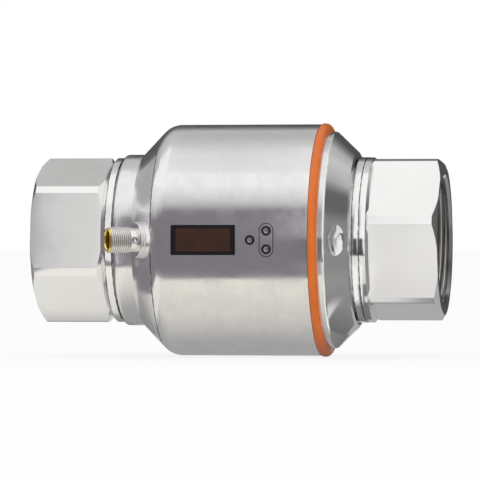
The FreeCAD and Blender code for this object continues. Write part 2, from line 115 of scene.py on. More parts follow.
@dataclass(frozen=True)
class Patch:
    """A grid of points in millimetres that may run round in a closed loop either way.

    Attributes:
        points: array of rows by columns by three.
        ring_rows: the last row joins the first.
        ring_columns: the last column joins the first.
        depth: rows by columns, 0 on open surface and 1 at the bottom of a groove.
    """

    points: Array
    ring_rows: bool = False
    ring_columns: bool = False
    depth: Optional[Array] = None

    def quads(self, first: int) -> Array:
        """Corner numbers of the quads between neighbouring rows and columns.

        Args:
            first: number of the patch's first point in the whole mesh.

        Returns:
            Array of quads by four.
        """
        rows, columns = self.points.shape[:2]
        index = first + np.arange(rows * columns).reshape(rows, columns)
        if self.ring_rows:
            index = np.concatenate([index, index[:1]])
        if self.ring_columns:
            index = np.concatenate([index, index[:, :1]], axis=1)
        corners = [index[:-1, :-1], index[:-1, 1:], index[1:, 1:], index[1:, :-1]]
        return np.stack(corners, axis=-1).reshape(-1, 4)


@dataclass(frozen=True)
class Axis:
    """A line with two directions across it, for shapes that are turned about it.

    Attributes:
        origin: a point on the line, in millimetres.
        along: unit direction of the line.
        across: unit direction of the zero angle.
    """

    origin: Vector3
    along: Vector3
    across: Vector3

    def place(self, distance: Array, radius: Array, angle: Array) -> Array:
        """Points by cylinder coordinates: origin, plus distance along, plus radius turned by the angle.

        Args:
            distance: how far along the axis.
            radius: how far from the axis.
            angle: turn from the zero angle, in radians.

        Returns:
            Array of the broadcast shape by three.
        """
        along = np.array(self.along)
        across = np.array(self.across)
        third = np.cross(along, across)
        parts = np.broadcast_arrays(distance, radius, angle)
        distance, radius, angle = (part[..., None] for part in parts)
        outward = np.cos(angle) * across + np.sin(angle) * third
        return np.array(self.origin) + distance * along + radius * outward

    def turned(self, outline: Array, columns: int, closed: bool = True) -> Patch:
        """Solid of revolution: every outline point goes once round the axis.

        Args:
            outline: points by two, distance along the axis and radius.
            columns: steps round the axis.
            closed: the outline's end joins its start.

        Returns:
            The turned patch.
        """
        angle = np.linspace(0.0, TAU, columns, endpoint=False)
        points = self.place(outline[:, :1], outline[:, 1:], angle[None, :])
        return Patch(points, ring_rows=closed, ring_columns=True)


def unit(vectors: Array) -> Array:
    """Vectors divided by their lengths."""
    return vectors / np.linalg.norm(vectors, axis=-1, keepdims=True)


def fade(value: Array) -> Array:
    """Smooth step from 0 to 1: three times the square less twice the cube of the value held in 0..1."""
    held = np.clip(value, 0.0, 1.0)
    return held * held * (3.0 - 2.0 * held)


def rounded_outline(corners: Sequence[Vector3], steps: int = 7) -> Array:
    """Closed outline whose corners are arcs tangent to both of their sides.

    An arc's centre lies on the corner's bisector, at its radius over the sine of half the corner's angle,
    and its points turn evenly from the one tangent point to the other. A radius of 0 keeps a sharp corner.

    Args:
        corners: first coordinate, second coordinate and radius of each corner.
        steps: points on each arc.

    Returns:
        Array of points by two.
    """
    table = np.array(corners, float)
    corner = table[:, :2]
    radius = table[:, 2:]
    back = unit(np.roll(corner, 1, axis=0) - corner)
    ahead = unit(np.roll(corner, -1, axis=0) - corner)
    half = np.arccos(np.clip(np.sum(back * ahead, axis=1, keepdims=True), -1.0, 1.0)) / 2
    centre = corner + unit(back + ahead) * radius / np.sin(half)
    start = corner + back * radius / np.tan(half) - centre
    end = corner + ahead * radius / np.tan(half) - centre
    turn = np.arctan2(start[:, 0] * end[:, 1] - start[:, 1] * end[:, 0], np.sum(start * end, axis=1))
    angle = np.arctan2(start[:, 1], start[:, 0])[:, None] + turn[:, None] * np.linspace(0.0, 1.0, steps)
    arc = np.stack([np.cos(angle), np.sin(angle)], axis=-1) * radius[:, None]
    return (centre[:, None] + arc).reshape(-1, 2)


def evenly(outline: Array, count: int) -> Array:
    """Points at equal steps of length along a closed outline, by straight lines between its own points.

    Args:
        outline: points by two.
        count: how many points to place.

    Returns:
        Array of count points by two.
    """
    closed = np.concatenate([outline, outline[:1]])
    length = np.concatenate([[0.0], np.cumsum(np.linalg.norm(np.diff(closed, axis=0), axis=1))])
    at = np.linspace(0.0, length[-1], count, endpoint=False)
    return np.stack([np.interp(at, length, closed[:, 0]), np.interp(at, length, closed[:, 1])], axis=1)


def skin(name: str, patches: Sequence[Patch], crease: float = CREASE) -> Piece:
    """Joins patches into one mesh: seams and poles closed, faces outward, edges above the crease sharp.

    Args:
        name: name of the piece.
        patches: its grids of points.
        crease: angle in degrees above which an edge stays sharp.

    Returns:
        The piece's object, at the origin, with its place in its mesh.
    """
    counts = [patch.points.shape[0] * patch.points.shape[1] for patch in patches]
    starts = np.cumsum([0, *counts[:-1]])
    points = np.concatenate([patch.points.reshape(-1, 3) for patch in patches]) * MM
    quads = np.concatenate([patch.quads(int(start)) for patch, start in zip(patches, starts)])
    mesh = bpy.data.meshes.new(name)
    mesh.from_pydata(points, [], quads)
    if all(patch.depth is not None for patch in patches):
        depth = np.concatenate([patch.depth.ravel() for patch in patches])
        mesh.attributes.new(DEPTH, "FLOAT", "POINT").data.foreach_set("value", depth)
    shape = bmesh.new()
    shape.from_mesh(mesh)
    bmesh.ops.remove_doubles(shape, verts=shape.verts, dist=WELD)
    bmesh.ops.dissolve_degenerate(shape, edges=shape.edges, dist=WELD)
    bmesh.ops.recalc_face_normals(shape, faces=shape.faces)
    shape.to_mesh(mesh)
    shape.free()
    mesh.shade_smooth()
    mesh.set_sharp_from_angle(angle=math.radians(crease))
    piece = bpy.data.objects.new(name, mesh)
    bpy.context.scene.collection.objects.link(piece)
    return piece


class Graph:
    """A shader tree with a short way to add a node with its settings, values and links."""

    def __init__(self, tree: Tree) -> None:
        """Takes the tree to work in."""
        self.tree = tree

    def feed(self, node: Node, inputs: Inputs) -> None:
        """Gives a node its inputs.

        Args:
            node: the node.
            inputs: values or sockets by the input's name or number; a socket is linked.
        """
        for name, value in inputs.items():
            if isinstance(value, Socket):
                self.tree.links.new(value, node.inputs[name])
            else:
                node.inputs[name].default_value = value

    def add(self, kind: str, inputs: Optional[Inputs] = None, **settings: object) -> Node:
        """Adds a node.

        Args:
            kind: Blender's name for the node type.
            inputs: values or sockets for its inputs.
            settings: the node's own properties.

        Returns:
            The new node.
        """
        node = self.tree.nodes.new(kind)
        for name, value in settings.items():
            setattr(node, name, value)
        self.feed(node, inputs or {})
        return node

    def math(self, operation: str, first: object, second: object = 0.0) -> Socket:
        """One Math node; returns its result."""
        return self.add("ShaderNodeMath", {0: first, 1: second}, operation=operation).outputs[0]

    def mix(self, factor: object, first: object, second: object) -> Socket:
        """Mixes two colours by a factor; returns the colour."""
        return self.add("ShaderNodeMix", {0: factor, 6: first, 7: second}, data_type="RGBA").outputs[2]

    def weigh(self, first: Socket, second: Socket, shares: Pair) -> Socket:
        """Adds two values by their shares; returns the sum."""
        parts = [self.math("MULTIPLY", value, share) for value, share in zip((first, second), shares)]
        return self.math("ADD", parts[0], parts[1])

    def spread(
        self, value: Socket, low: object, high: object, start: float = 0.0, end: float = 1.0
    ) -> Socket:
        """Maps a value from start..end smoothly to low..high; returns the result."""
        inputs = {0: value, 1: start, 2: end, 3: low, 4: high}
        return self.add("ShaderNodeMapRange", inputs, interpolation_type="SMOOTHSTEP").outputs[0]

    def bump(self, height: Socket, strength: float, depth: float) -> Socket:
        """One bump node; returns its normal."""
        inputs = {"Strength": strength, "Distance": depth, "Height": height}
        return self.add("ShaderNodeBump", inputs).outputs[0]

    def noise(self, vector: Socket, scale: object, detail: float, roughness: float = 0.55) -> Socket:
        """One noise texture; returns its value."""
        inputs = {"Vector": vector, "Scale": scale, "Detail": detail, "Roughness": roughness}
        return self.add("ShaderNodeTexNoise", inputs).outputs["Fac"]

    def place(self, effect: "Effect", inputs: Inputs) -> Node:
        """Places a shared effect with its own values; returns the group node."""
        return self.add("ShaderNodeGroup", inputs, node_tree=effect.tree())


class Effect(Enum):
    """Surface effects that several finishes share, each one shader node group."""

    BRUSHING = "brushing"
    CLOUDS = "clouds"
    SEAM = "seam"
    GRAIN = "grain"
    GRIME = "grime"

    def tree(self) -> Tree:
        """The effect's node group, made at its first use.

        Returns:
            The node group.
        """
        made = bpy.data.node_groups.get(self.value)
        if made is not None:
            return made
        return {
            Effect.BRUSHING: self.brushing,
            Effect.CLOUDS: self.clouds,
            Effect.SEAM: self.seam,
            Effect.GRAIN: self.grain,
            Effect.GRIME: self.grime,
        }[self]()

    def start(self, inputs: dict[str, str], outputs: Sequence[str]) -> tuple[Graph, Node, Node]:
        """Makes an empty group with named sockets.

        Args:
            inputs: socket type, Float or Vector, of each input by name.
            outputs: names of the outputs, which are all numbers.

        Returns:
            The group's graph, its input node and its output node.
        """
        tree = bpy.data.node_groups.new(self.value, "ShaderNodeTree")
        for name, kind in inputs.items():
            tree.interface.new_socket(name=name, in_out="INPUT", socket_type=f"NodeSocket{kind}")
        for name in outputs:
            tree.interface.new_socket(name=name, in_out="OUTPUT", socket_type="NodeSocketFloat")
        graph = Graph(tree)
        return graph, graph.add("NodeGroupInput"), graph.add("NodeGroupOutput")

    def brushing(self) -> Tree:
        """Fine brushed lines: noise stretched by a frequency of its own along each axis.

        Returns:
            The node group, with Lines from 0 to 1.
        """
        graph, given, result = self.start({"Vector": "Vector", "Frequency": "Vector"}, ["Lines"])
        inputs = {0: given.outputs["Vector"], 1: given.outputs["Frequency"]}
        stretched = graph.add("ShaderNodeVectorMath", inputs, operation="MULTIPLY").outputs[0]
        graph.feed(result, {"Lines": graph.noise(stretched, scale=1.0, detail=4.0, roughness=0.7)})
        return graph.tree

    def clouds(self) -> Tree:
        """Slow uneven tone from 0 to 1, as handling and heat leave it.

        Returns:
            The node group, with its Tone.
        """
        graph, given, result = self.start({"Vector": "Vector", "Scale": "Float"}, ["Tone"])
        noise = graph.noise(given.outputs["Vector"], given.outputs["Scale"], detail=5.0, roughness=0.6)
        graph.feed(result, {"Tone": graph.spread(noise, 0.0, 1.0, *NOISE_RANGE)})
        return graph.tree

    def seam(self) -> Tree:
        """Mask of painted shade: 1 in the turned seam at one place along X, fading out unevenly over a
        reach.

        Returns:
            The node group, with the painted-shade mask as its one output.
        """
        sockets = {"Vector": "Vector", "Along": "Float", "Reach": "Float"}
        graph, given, result = self.start(sockets, ["SeamShade"])
        along = graph.add("ShaderNodeSeparateXYZ", {0: given.outputs["Vector"]}).outputs["X"]
        away = graph.math("ABSOLUTE", graph.math("SUBTRACT", along, given.outputs["Along"]))
        noise = graph.noise(given.outputs["Vector"], SEAM_SHADE_SCALE, detail=3.0)
        uneven = graph.spread(noise, *SEAM_SHADE_UNEVEN, *NOISE_RANGE)
        reach = graph.math("MULTIPLY", given.outputs["Reach"], uneven)
        near = graph.math("SUBTRACT", 1.0, graph.math("DIVIDE", away, reach))
        graph.feed(result, {"SeamShade": graph.spread(near, 0.0, 1.0)})
        return graph.tree

    def grain(self) -> Tree:
        """Fine moulded grain: small bumps on two scales, and a tone that goes with them.

        Returns:
            The node group, with Height and Tone.
        """
        graph, given, result = self.start({"Vector": "Vector", "Scale": "Float"}, ["Height", "Tone"])
        fine_scale = given.outputs["Scale"]
        fine = graph.noise(given.outputs["Vector"], fine_scale, detail=3.0)
        coarse_scale = graph.math("MULTIPLY", fine_scale, COARSE_SHARE)
        coarse = graph.noise(given.outputs["Vector"], coarse_scale, detail=2.0)
        tone = graph.spread(coarse, 0.0, 1.0, *NOISE_RANGE)
        graph.feed(result, {"Height": graph.math("ADD", fine, coarse), "Tone": tone})
        return graph.tree

    def grime(self) -> Tree:
        """Mask of painted shade in grooves: their depth, made uneven by noise.

        Returns:
            The node group, with the painted-shade mask as its one output.
        """
        graph, given, result = self.start({"Vector": "Vector", "Depth": "Float"}, ["Grime"])
        noise = graph.noise(given.outputs["Vector"], GROOVE_SHADE_SCALE, detail=3.0)
        uneven = graph.spread(noise, *GROOVE_SHADE_UNEVEN, *NOISE_RANGE)
        deep = graph.math("MULTIPLY", given.outputs["Depth"], uneven)
        graph.feed(result, {"Grime": graph.spread(deep, 0.0, 1.0, *GROOVE_SHADE_DEPTHS)})
        return graph.tree


class Finish:
    """A surface finish; a subclass holds its values and wires its material."""

    name: str

    def material(self) -> bpy.types.Material:
        """The finish's material, made at its first use.

        Returns:
            The material.
        """
        made = bpy.data.materials.get(self.name)
        if made is not None:
            return made
        material = bpy.data.materials.new(self.name)
        material.use_nodes = True
        graph = Graph(material.node_tree)
        shader = material.node_tree.nodes["Principled BSDF"]
        place = graph.add("ShaderNodeTexCoord").outputs["Object"]
        self.wire(graph, shader, place)
        return material

    def wire(self, graph: Graph, shader: Node, place: Socket) -> None:
        """Adds the finish's nodes.

        Args:
            graph: the material's tree.
            shader: its Principled BSDF.
            place: object coordinates in metres.
        """
        raise NotImplementedError


@dataclass(frozen=True)
class Steel(Finish):
    """Bare metal with brushed lines, cloudy tone, and painted shade in its seams and its bore.

    Attributes:
        name: the material's name.
        light: colour of the brighter metal.
        dark: colour of the duller metal.
        roughness: middle roughness.
        frequency: brushed lines per metre along X, Y and Z.
        relief: depth of the lines in the bump, from 0 to 1.
        gloss_change: how far lines and clouds change the roughness.
        cloud_scale: clouds per metre.
        seams: places along X of seams that get painted shade, in metres.
        seam_reach: how far the painted shade reaches from a seam, in metres.
        bore: radius about the flow axis inside which the metal gets painted shade, in metres.
        bore_shade_blend: half the width of the painted shade's soft edge at the bore, in metres.
        tone_shares: shares of clouds and lines in the tone.
        gloss_shares: shares of lines and clouds in the gloss.
        line_depth: depth of the deepest lines, in metres.
    """

    name: str
    light: Color
    dark: Color
    roughness: float
    frequency: Vector3
    relief: float = 0.1
    gloss_change: float = 0.1
    cloud_scale: float = 34.0
    seams: tuple[float, ...] = ()
    seam_reach: float = 0.0005
    bore: float = 0.0
    bore_shade_blend: float = 0.0002
    tone_shares: Pair = (0.35, 0.65)
    gloss_shares: Pair = (0.6, 0.4)
    line_depth: float = 0.00006

    def wire(self, graph: Graph, shader: Node, place: Socket) -> None:
        """Brushing drives bump and gloss, clouds drive tone, and painted shade darkens the seams and the
        bore.

        Args:
            graph: the material's tree.
            shader: its Principled BSDF.
            place: object coordinates in metres.
        """
        brushed = graph.place(Effect.BRUSHING, {"Vector": place, "Frequency": self.frequency})
        clouds = graph.place(Effect.CLOUDS, {"Vector": place, "Scale": self.cloud_scale}).outputs["Tone"]
        lines = brushed.outputs["Lines"]
        tone = graph.weigh(clouds, lines, self.tone_shares)
        color = graph.mix(tone, opaque(self.light), opaque(self.dark))
        rough = graph.weigh(lines, clouds, self.gloss_shares)
        rough = graph.spread(rough, *about(self.roughness, self.gloss_change), *GLOSS_RANGE)
        # Painted shade: each seam darkens the colour about it.
        for seam in self.seams:
            inputs = {"Vector": place, "Along": seam, "Reach": self.seam_reach}
            seam_shade = graph.place(Effect.SEAM, inputs).outputs["SeamShade"]
            color = graph.mix(seam_shade, color, opaque(SEAM_SHADE))
        # Painted shade inside the port's bore.
        if self.bore > 0.0:
            flat = graph.add("ShaderNodeVectorMath", {0: place, 1: (0.0, 1.0, 1.0)}, operation="MULTIPLY")
            away = graph.add("ShaderNodeVectorMath", {0: flat.outputs[0]}, operation="LENGTH")
            inside = graph.spread(away.outputs["Value"], 1.0, 0.0, *about(self.bore, self.bore_shade_blend))
            color = graph.mix(inside, color, opaque(BORE_SHADE))
        normal = graph.bump(lines, self.relief, self.line_depth)
        graph.feed(shader, {"Metallic": 1.0, "Base Color": color, "Roughness": rough, "Normal": normal})


@dataclass(frozen=True)
class ThreadCut(Finish):
    """Cut metal with painted shade in its thread, and bare metal of another colour at one end.

    Attributes:
        name: the material's name.
        light: colour of the brighter metal.
        dark: colour of the duller metal.
        grime: colour of the painted shade at the bottom of the thread.
        roughness: middle roughness.
        tip: colour of the bare end.
        origin: a point on the piece's line, in metres.
        along: unit direction of that line.
        tip_from: distance along the line at which the bare end starts, in metres.
        tip_blend: half the width of the bare end's soft edge, in metres.
        cloud_scale: clouds per metre.
        gloss_change: how far clouds change the roughness.
        groove_roughness: roughness added where the painted shade is.
    """

    name: str
    light: Color
    dark: Color
    grime: Color
    roughness: float
    tip: Optional[Color] = None
    origin: Vector3 = (0.0, 0.0, 0.0)
    along: Vector3 = (1.0, 0.0, 0.0)
    tip_from: float = 0.0
    tip_blend: float = 0.0001
    cloud_scale: float = 160.0
    gloss_change: float = 0.04
    groove_roughness: float = 0.25

    def wire(self, graph: Graph, shader: Node, place: Socket) -> None:
        """The piece's own groove depth drives painted shade in the grooves, and clouds drive tone and
        gloss.

        Args:
            graph: the material's tree.
            shader: its Principled BSDF.
            place: object coordinates in metres.
        """
        depth = graph.add("ShaderNodeAttribute", attribute_name=DEPTH).outputs["Fac"]
        grime = graph.place(Effect.GRIME, {"Vector": place, "Depth": depth}).outputs["Grime"]
        clouds = graph.place(Effect.CLOUDS, {"Vector": place, "Scale": self.cloud_scale}).outputs["Tone"]
        color = graph.mix(clouds, opaque(self.light), opaque(self.dark))
        if self.tip is not None:
            offset = graph.add("ShaderNodeVectorMath", {0: place, 1: self.origin}, operation="SUBTRACT")
            inputs = {0: offset.outputs[0], 1: self.along}
            reach = graph.add("ShaderNodeVectorMath", inputs, operation="DOT_PRODUCT").outputs["Value"]
            bare = graph.spread(reach, 0.0, 1.0, *about(self.tip_from, self.tip_blend))
            color = graph.mix(bare, color, opaque(self.tip))
        # Painted shade darkens the grooves.
        color = graph.mix(grime, color, opaque(self.grime))
        rough = graph.spread(clouds, *about(self.roughness, self.gloss_change))
        rough = graph.math("ADD", rough, graph.math("MULTIPLY", grime, self.groove_roughness))
        graph.feed(shader, {"Metallic": 1.0, "Base Color": color, "Roughness": rough})


@dataclass(frozen=True)
class Moulding(Finish):
    """Plastic, rubber or lacquer with a fine grain and uneven tone.

    Attributes:
        name: the material's name.
        color: colour of the clean surface.
        rubbed: colour where handling has changed it.
        roughness: middle roughness.
        grain_scale: bumps per metre.
        relief: depth of the grain in the bump, from 0 to 1.
        specular: strength of the surface's own shine, where 0.5 is common plastic.
        cloud_scale: clouds per metre.
        gloss_change: how far clouds change the roughness.
        grain_depth: depth of the deepest grain, in metres.
    """

    name: str
    color: Color
    rubbed: Color
    roughness: float
    grain_scale: float = 2600.0
    relief: float = 0.12
    specular: float = 0.5
    cloud_scale: float = 60.0
    gloss_change: float = 0.06
    grain_depth: float = 0.00005

    def wire(self, graph: Graph, shader: Node, place: Socket) -> None:
        """Grain drives the bump, and clouds drive tone and gloss.

        Args:
            graph: the material's tree.
            shader: its Principled BSDF.
            place: object coordinates in metres.
        """
        grain = graph.place(Effect.GRAIN, {"Vector": place, "Scale": self.grain_scale})
        clouds = graph.place(Effect.CLOUDS, {"Vector": place, "Scale": self.cloud_scale}).outputs["Tone"]
        tone = graph.math("MULTIPLY", graph.math("ADD", grain.outputs["Tone"], clouds), 0.5)
        color = graph.mix(tone, opaque(self.color), opaque(self.rubbed))
        rough = graph.spread(clouds, *about(self.roughness, self.gloss_change))
        normal = graph.bump(grain.outputs["Height"], self.relief, self.grain_depth)
        graph.feed(shader, {"Base Color": color, "Roughness": rough, "Normal": normal})
        graph.feed(shader, {"Specular IOR Level": self.specular})


@dataclass(frozen=True)
class TintedPane(Finish):
    """Dark tinted window with a printed black border.

    Attributes:
        name: the material's name.
        tint: colour of the clear field.
        border: colour of the printed border.
        middle: X and Z of the field's middle, in metres.
        half: half the field's width and height, in metres.
        blend: half the width of the print's soft edge, in metres.
        deep_share: brightness of the deeper tint against the clear one.
        gloss: lowest and highest roughness.
        coat: weight and roughness of the clear coat.
        cloud_scale: clouds per metre.
        grain_scale: bumps per metre.
        relief: depth of the grain in the bump, from 0 to 1.
        grain_depth: depth of the deepest grain, in metres.
    """

    name: str
    tint: Color
    border: Color
    middle: Pair
    half: Pair
    blend: float = 0.00025
    deep_share: float = 0.75
    gloss: Pair = (0.1, 0.2)
    coat: Pair = (0.1, 0.05)
    cloud_scale: float = 90.0
    grain_scale: float = 900.0
    relief: float = 0.02
    grain_depth: float = 0.00004

    def wire(self, graph: Graph, shader: Node, place: Socket) -> None:
        """The border is what lies further from the middle than half the field, across or up.

        Args:
            graph: the material's tree.
            shader: its Principled BSDF.
            place: object coordinates in metres.
        """
        parts = graph.add("ShaderNodeSeparateXYZ", {0: place}).outputs
        inside = []
        for value, middle, half in zip((parts["X"], parts["Z"]), self.middle, self.half):
            away = graph.math("ABSOLUTE", graph.math("SUBTRACT", value, middle))
            inside.append(graph.spread(away, 1.0, 0.0, *about(half, self.blend)))
        field = graph.math("MULTIPLY", inside[0], inside[1])
        clouds = graph.place(Effect.CLOUDS, {"Vector": place, "Scale": self.cloud_scale}).outputs["Tone"]
        deep = tuple(self.deep_share * part for part in self.tint)
        tint = graph.mix(clouds, opaque(self.tint), opaque(deep))
        color = graph.mix(field, opaque(self.border), tint)
        grain = graph.place(Effect.GRAIN, {"Vector": place, "Scale": self.grain_scale})
        normal = graph.bump(grain.outputs["Height"], self.relief, self.grain_depth)
        rough = graph.spread(clouds, *self.gloss)
        graph.feed(shader, {"Base Color": color, "Roughness": rough, "Normal": normal})
        graph.feed(shader, {"Coat Weight": self.coat[0], "Coat Roughness": self.coat[1]})


WHITE = grey(1.0)
PAPER = (0.9, 0.9, 0.89)
AROUND = (5200.0, 60.0, 60.0)
ALONG = (60.0, 5200.0, 5200.0)
STEEL_LIGHT = (0.93, 0.92, 0.9)
STEEL_DARK = (0.75, 0.74, 0.75)
BRIGHT_LIGHT = (0.95, 0.945, 0.935)
BRIGHT_DARK = (0.84, 0.83, 0.82)
DULL_LIGHT = (0.8, 0.79, 0.78)
DULL_DARK = (0.66, 0.65, 0.65)
# Colour of the painted shade in seams.
SEAM_SHADE = (0.1, 0.097, 0.1)
# Colour of the painted shade inside the ports.
BORE_SHADE = (0.5, 0.49, 0.48)
# Colour of the painted shade in the port thread's roots.
ROOT_SHADE = (0.42, 0.41, 0.4)
WINDOW_TINT = (0.05, 0.02, 0.011)
WINDOW_BORDER = (0.006, 0.005, 0.005)
PORT_MOUTH = 0.0309
DRUM_SEAMS = (-0.03614,)
INLET_SEAMS = (-0.05675, -0.0601)
OUTLET_SEAMS = (0.05675, 0.0601)
# Reach of the painted shade from the adapters' seams.
ADAPTER_SHADE_REACH = 0.0004

DRUM_STEEL = Steel(
    "drum_brushed_steel", STEEL_LIGHT, STEEL_DARK, 0.17, AROUND,
    relief=0.12, gloss_change=0.05, cloud_scale=120.0, seams=DRUM_SEAMS,
)
COVER_STEEL = Steel("cover_pressed_steel", STEEL_LIGHT, STEEL_DARK, 0.12, AROUND, 0.05, 0.04)
INLET_STEEL = Steel(
    "inlet_turned_steel", BRIGHT_LIGHT, BRIGHT_DARK, 0.15, ALONG,
    relief=0.015, gloss_change=0.03, seams=INLET_SEAMS, seam_reach=ADAPTER_SHADE_REACH, bore=PORT_MOUTH,
)
OUTLET_STEEL = Steel(
    "outlet_turned_steel", BRIGHT_LIGHT, BRIGHT_DARK, 0.12, ALONG,
    relief=0.01, gloss_change=0.03, seams=OUTLET_SEAMS, seam_reach=ADAPTER_SHADE_REACH, bore=PORT_MOUTH,
)
THREAD_STEEL = ThreadCut("port_thread_steel", STEEL_LIGHT, STEEL_DARK, ROOT_SHADE, 0.18)
TUBE_STEEL = Steel("tube_drawn_steel", STEEL_LIGHT, STEEL_DARK, 0.25, ALONG)
BOSS_STEEL = Steel("boss_turned_steel", STEEL_LIGHT, STEEL_DARK, 0.18, AROUND)
WELD_STEEL = Steel("weld_steel", DULL_LIGHT, DULL_DARK, 0.3, (900.0, 900.0, 900.0), 0.3)
NICKEL_LIGHT = (0.95, 0.94, 0.925)
NICKEL_DARK = (0.87, 0.855, 0.83)
# Colour of the painted shade in the plug thread's roots.
NICKEL_GROOVE_SHADE = (0.5, 0.475, 0.44)
BRASS = (0.88, 0.66, 0.2)
GOLD = Steel("contact_gold", (0.93, 0.74, 0.3), (0.78, 0.56, 0.18), 0.3, AROUND, 0.05)
SCREW_STEEL = Steel("screw_steel", STEEL_LIGHT, STEEL_DARK, 0.25, AROUND)
ELECTRODE_STEEL = Steel("electrode_steel", STEEL_LIGHT, STEEL_DARK, 0.18, ALONG)
MAGNET_IRON = Steel("magnet_iron", (0.4, 0.39, 0.38), (0.26, 0.25, 0.25), 0.42, AROUND)
COPPER = Steel("winding_copper", (0.85, 0.42, 0.2), (0.55, 0.22, 0.1), 0.3, (60.0, 60.0, 2600.0))
SEAL_ORANGE = Moulding("seal_orange", (0.78, 0.175, 0.008), (0.68, 0.13, 0.006), 0.34, relief=0.06)
BLACK_RUBBER = Moulding("gasket_rubber", (0.012, 0.012, 0.012), (0.03, 0.03, 0.03), 0.62)
LINER_WHITE = Moulding("liner_plastic", (0.72, 0.71, 0.66), (0.62, 0.6, 0.54), 0.4)
GUIDE_BLACK = Moulding("guide_plastic", (0.005, 0.005, 0.006), (0.012, 0.012, 0.013), 0.4, specular=0.3)
CAP_SMOKED = Steel("button_smoked", (0.36, 0.35, 0.36), (0.26, 0.25, 0.26), 0.14, AROUND, 0.02, 0.04)
BOARD_GREEN = Moulding("board_laminate", (0.012, 0.09, 0.035), (0.02, 0.12, 0.05), 0.4)
CASE_BLACK = Moulding("moulded_plastic", (0.02, 0.02, 0.022), (0.04, 0.04, 0.042), 0.45)
DISPLAY_BLACK = Moulding("display_black", (0.008, 0.006, 0.006), (0.014, 0.01, 0.01), 0.2)
ETCHED_LINE = Moulding("etched_line", (0.02, 0.019, 0.02), (0.05, 0.048, 0.05), 0.5, specular=0.2)


def node_box(node: str) -> tuple[Array, Array]:
    """Lowest and highest corner of a node, in millimetres."""
    low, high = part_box(node)
    return np.array(low) / MM, np.array(high) / MM


def node_middle(node: str) -> Array:
    """Middle of a node's box, in millimetres."""
    low, high = node_box(node)
    return (low + high) / 2


def fitted(piece: Piece, finish: Finish, slot: str, body: str, *nodes: str) -> Piece:
    """Dresses a new piece and ties it to the frame.

    Args:
        piece: the new piece.
        finish: its finish.
        slot: the record's material slot; not used.
        body: the body that carries it.
        nodes: the nodes that it stands for.

    Returns:
        The same piece.
    """
    piece.data.materials.append(finish.material())
    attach(piece, body)
    if nodes:
        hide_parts(*nodes)
    LOG.info("built %s with %d faces in %s", piece.name, len(piece.data.polygons), finish.name)
    return piece


FLOW_AXIS = Axis((0.0, 0.0, 0.0), (1.0, 0.0, 0.0), (0.0, -1.0, 0.0))
MAIN_BODY = "body"


class SubAssembly:
    """Pieces that are built and dressed together; a subclass holds their sizes."""

    def nodes(self) -> dict[str, Finish]:
        """The carried-over nodes with their finishes."""
        return {}

    def pieces(self) -> None:
        """Builds the new pieces, where there are any."""

    def build(self) -> None:
        """Dresses the nodes, builds the pieces and reports them."""
        for node, finish in self.nodes().items():
            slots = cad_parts[node].data.materials
            slots.clear()
            slots.append(finish.material())
            LOG.info("dressed %s in %s", node, finish.name)
        self.pieces()


@dataclass
class DrumHousing(SubAssembly):
    """Drum, end cover and the seal ring between them.

    Attributes:
        neck_radius: outside of the neck.
        cone_angle: slope of the cone, in degrees.
        shoulder_round: rounding between cone and drum.
        neck_end: X where the neck meets the cone.
        seal_inner: radius of the seal's groove.
        seal_rounds: rounding of the seal's outer edges at the drum and at the cover.
        seal_foot_round: rounding of its inner edges.
    """

    neck_radius: float = 40.8
    cone_angle: float = 46.0
    shoulder_round: float = 10.0
    neck_end: float = -46.9
    seal_inner: float = 49.4
    seal_rounds: Pair = (1.2, 2.4)
    seal_foot_round: float = 0.2

    def nodes(self) -> dict[str, Finish]:
        """The two pressed shells."""
        return {"housing_shell": DRUM_STEEL, "end_cover": COVER_STEEL}

    def drum_radius(self) -> float:
        """Outside radius of the drum."""
        return float(node_box("housing_shell")[1][2])

    def radius_at(self, x: Array) -> Array:
        """Outside radius along X: the neck, the cone's straight line, an arc tangent to cone and drum.

        Args:
            x: places along the flow axis.

        Returns:
            The radius at each place.
        """
        drum = self.drum_radius()
        slope = math.tan(math.radians(self.cone_angle))
        corner = self.neck_end + (drum - self.neck_radius) / slope
        setback = self.shoulder_round * math.tan(math.radians(self.cone_angle) / 2)
        top = corner + setback
        reach = np.clip(top - x, 0.0, self.shoulder_round)
        arc = drum - self.shoulder_round + np.sqrt(self.shoulder_round**2 - reach**2)
        line = self.neck_radius + (x - self.neck_end) * slope
        bend = corner - setback * math.cos(math.radians(self.cone_angle))
        return np.where(x < bend, np.maximum(line, self.neck_radius), np.where(x < top, arc, drum))

    def pieces(self) -> None:
        """The seal ring: a softly rounded outline turned about the flow axis."""
        low, high = node_box("seal_ring")
        near, far = self.seal_rounds
        outline = rounded_outline([
            (low[0], self.seal_inner, self.seal_foot_round),
            (low[0], high[2], near),
            (high[0], high[2], far),
            (high[0], self.seal_inner, self.seal_foot_round),
        ], steps=9)
        ring = skin("soft_seal_ring", [FLOW_AXIS.turned(outline, LARGE_STEPS)])
        fitted(ring, SEAL_ORANGE, "orange_seal", MAIN_BODY, "seal_ring")


class End(Enum):
    """The two ends of the flow axis, by the sign of X."""

    INLET = -1
    OUTLET = 1


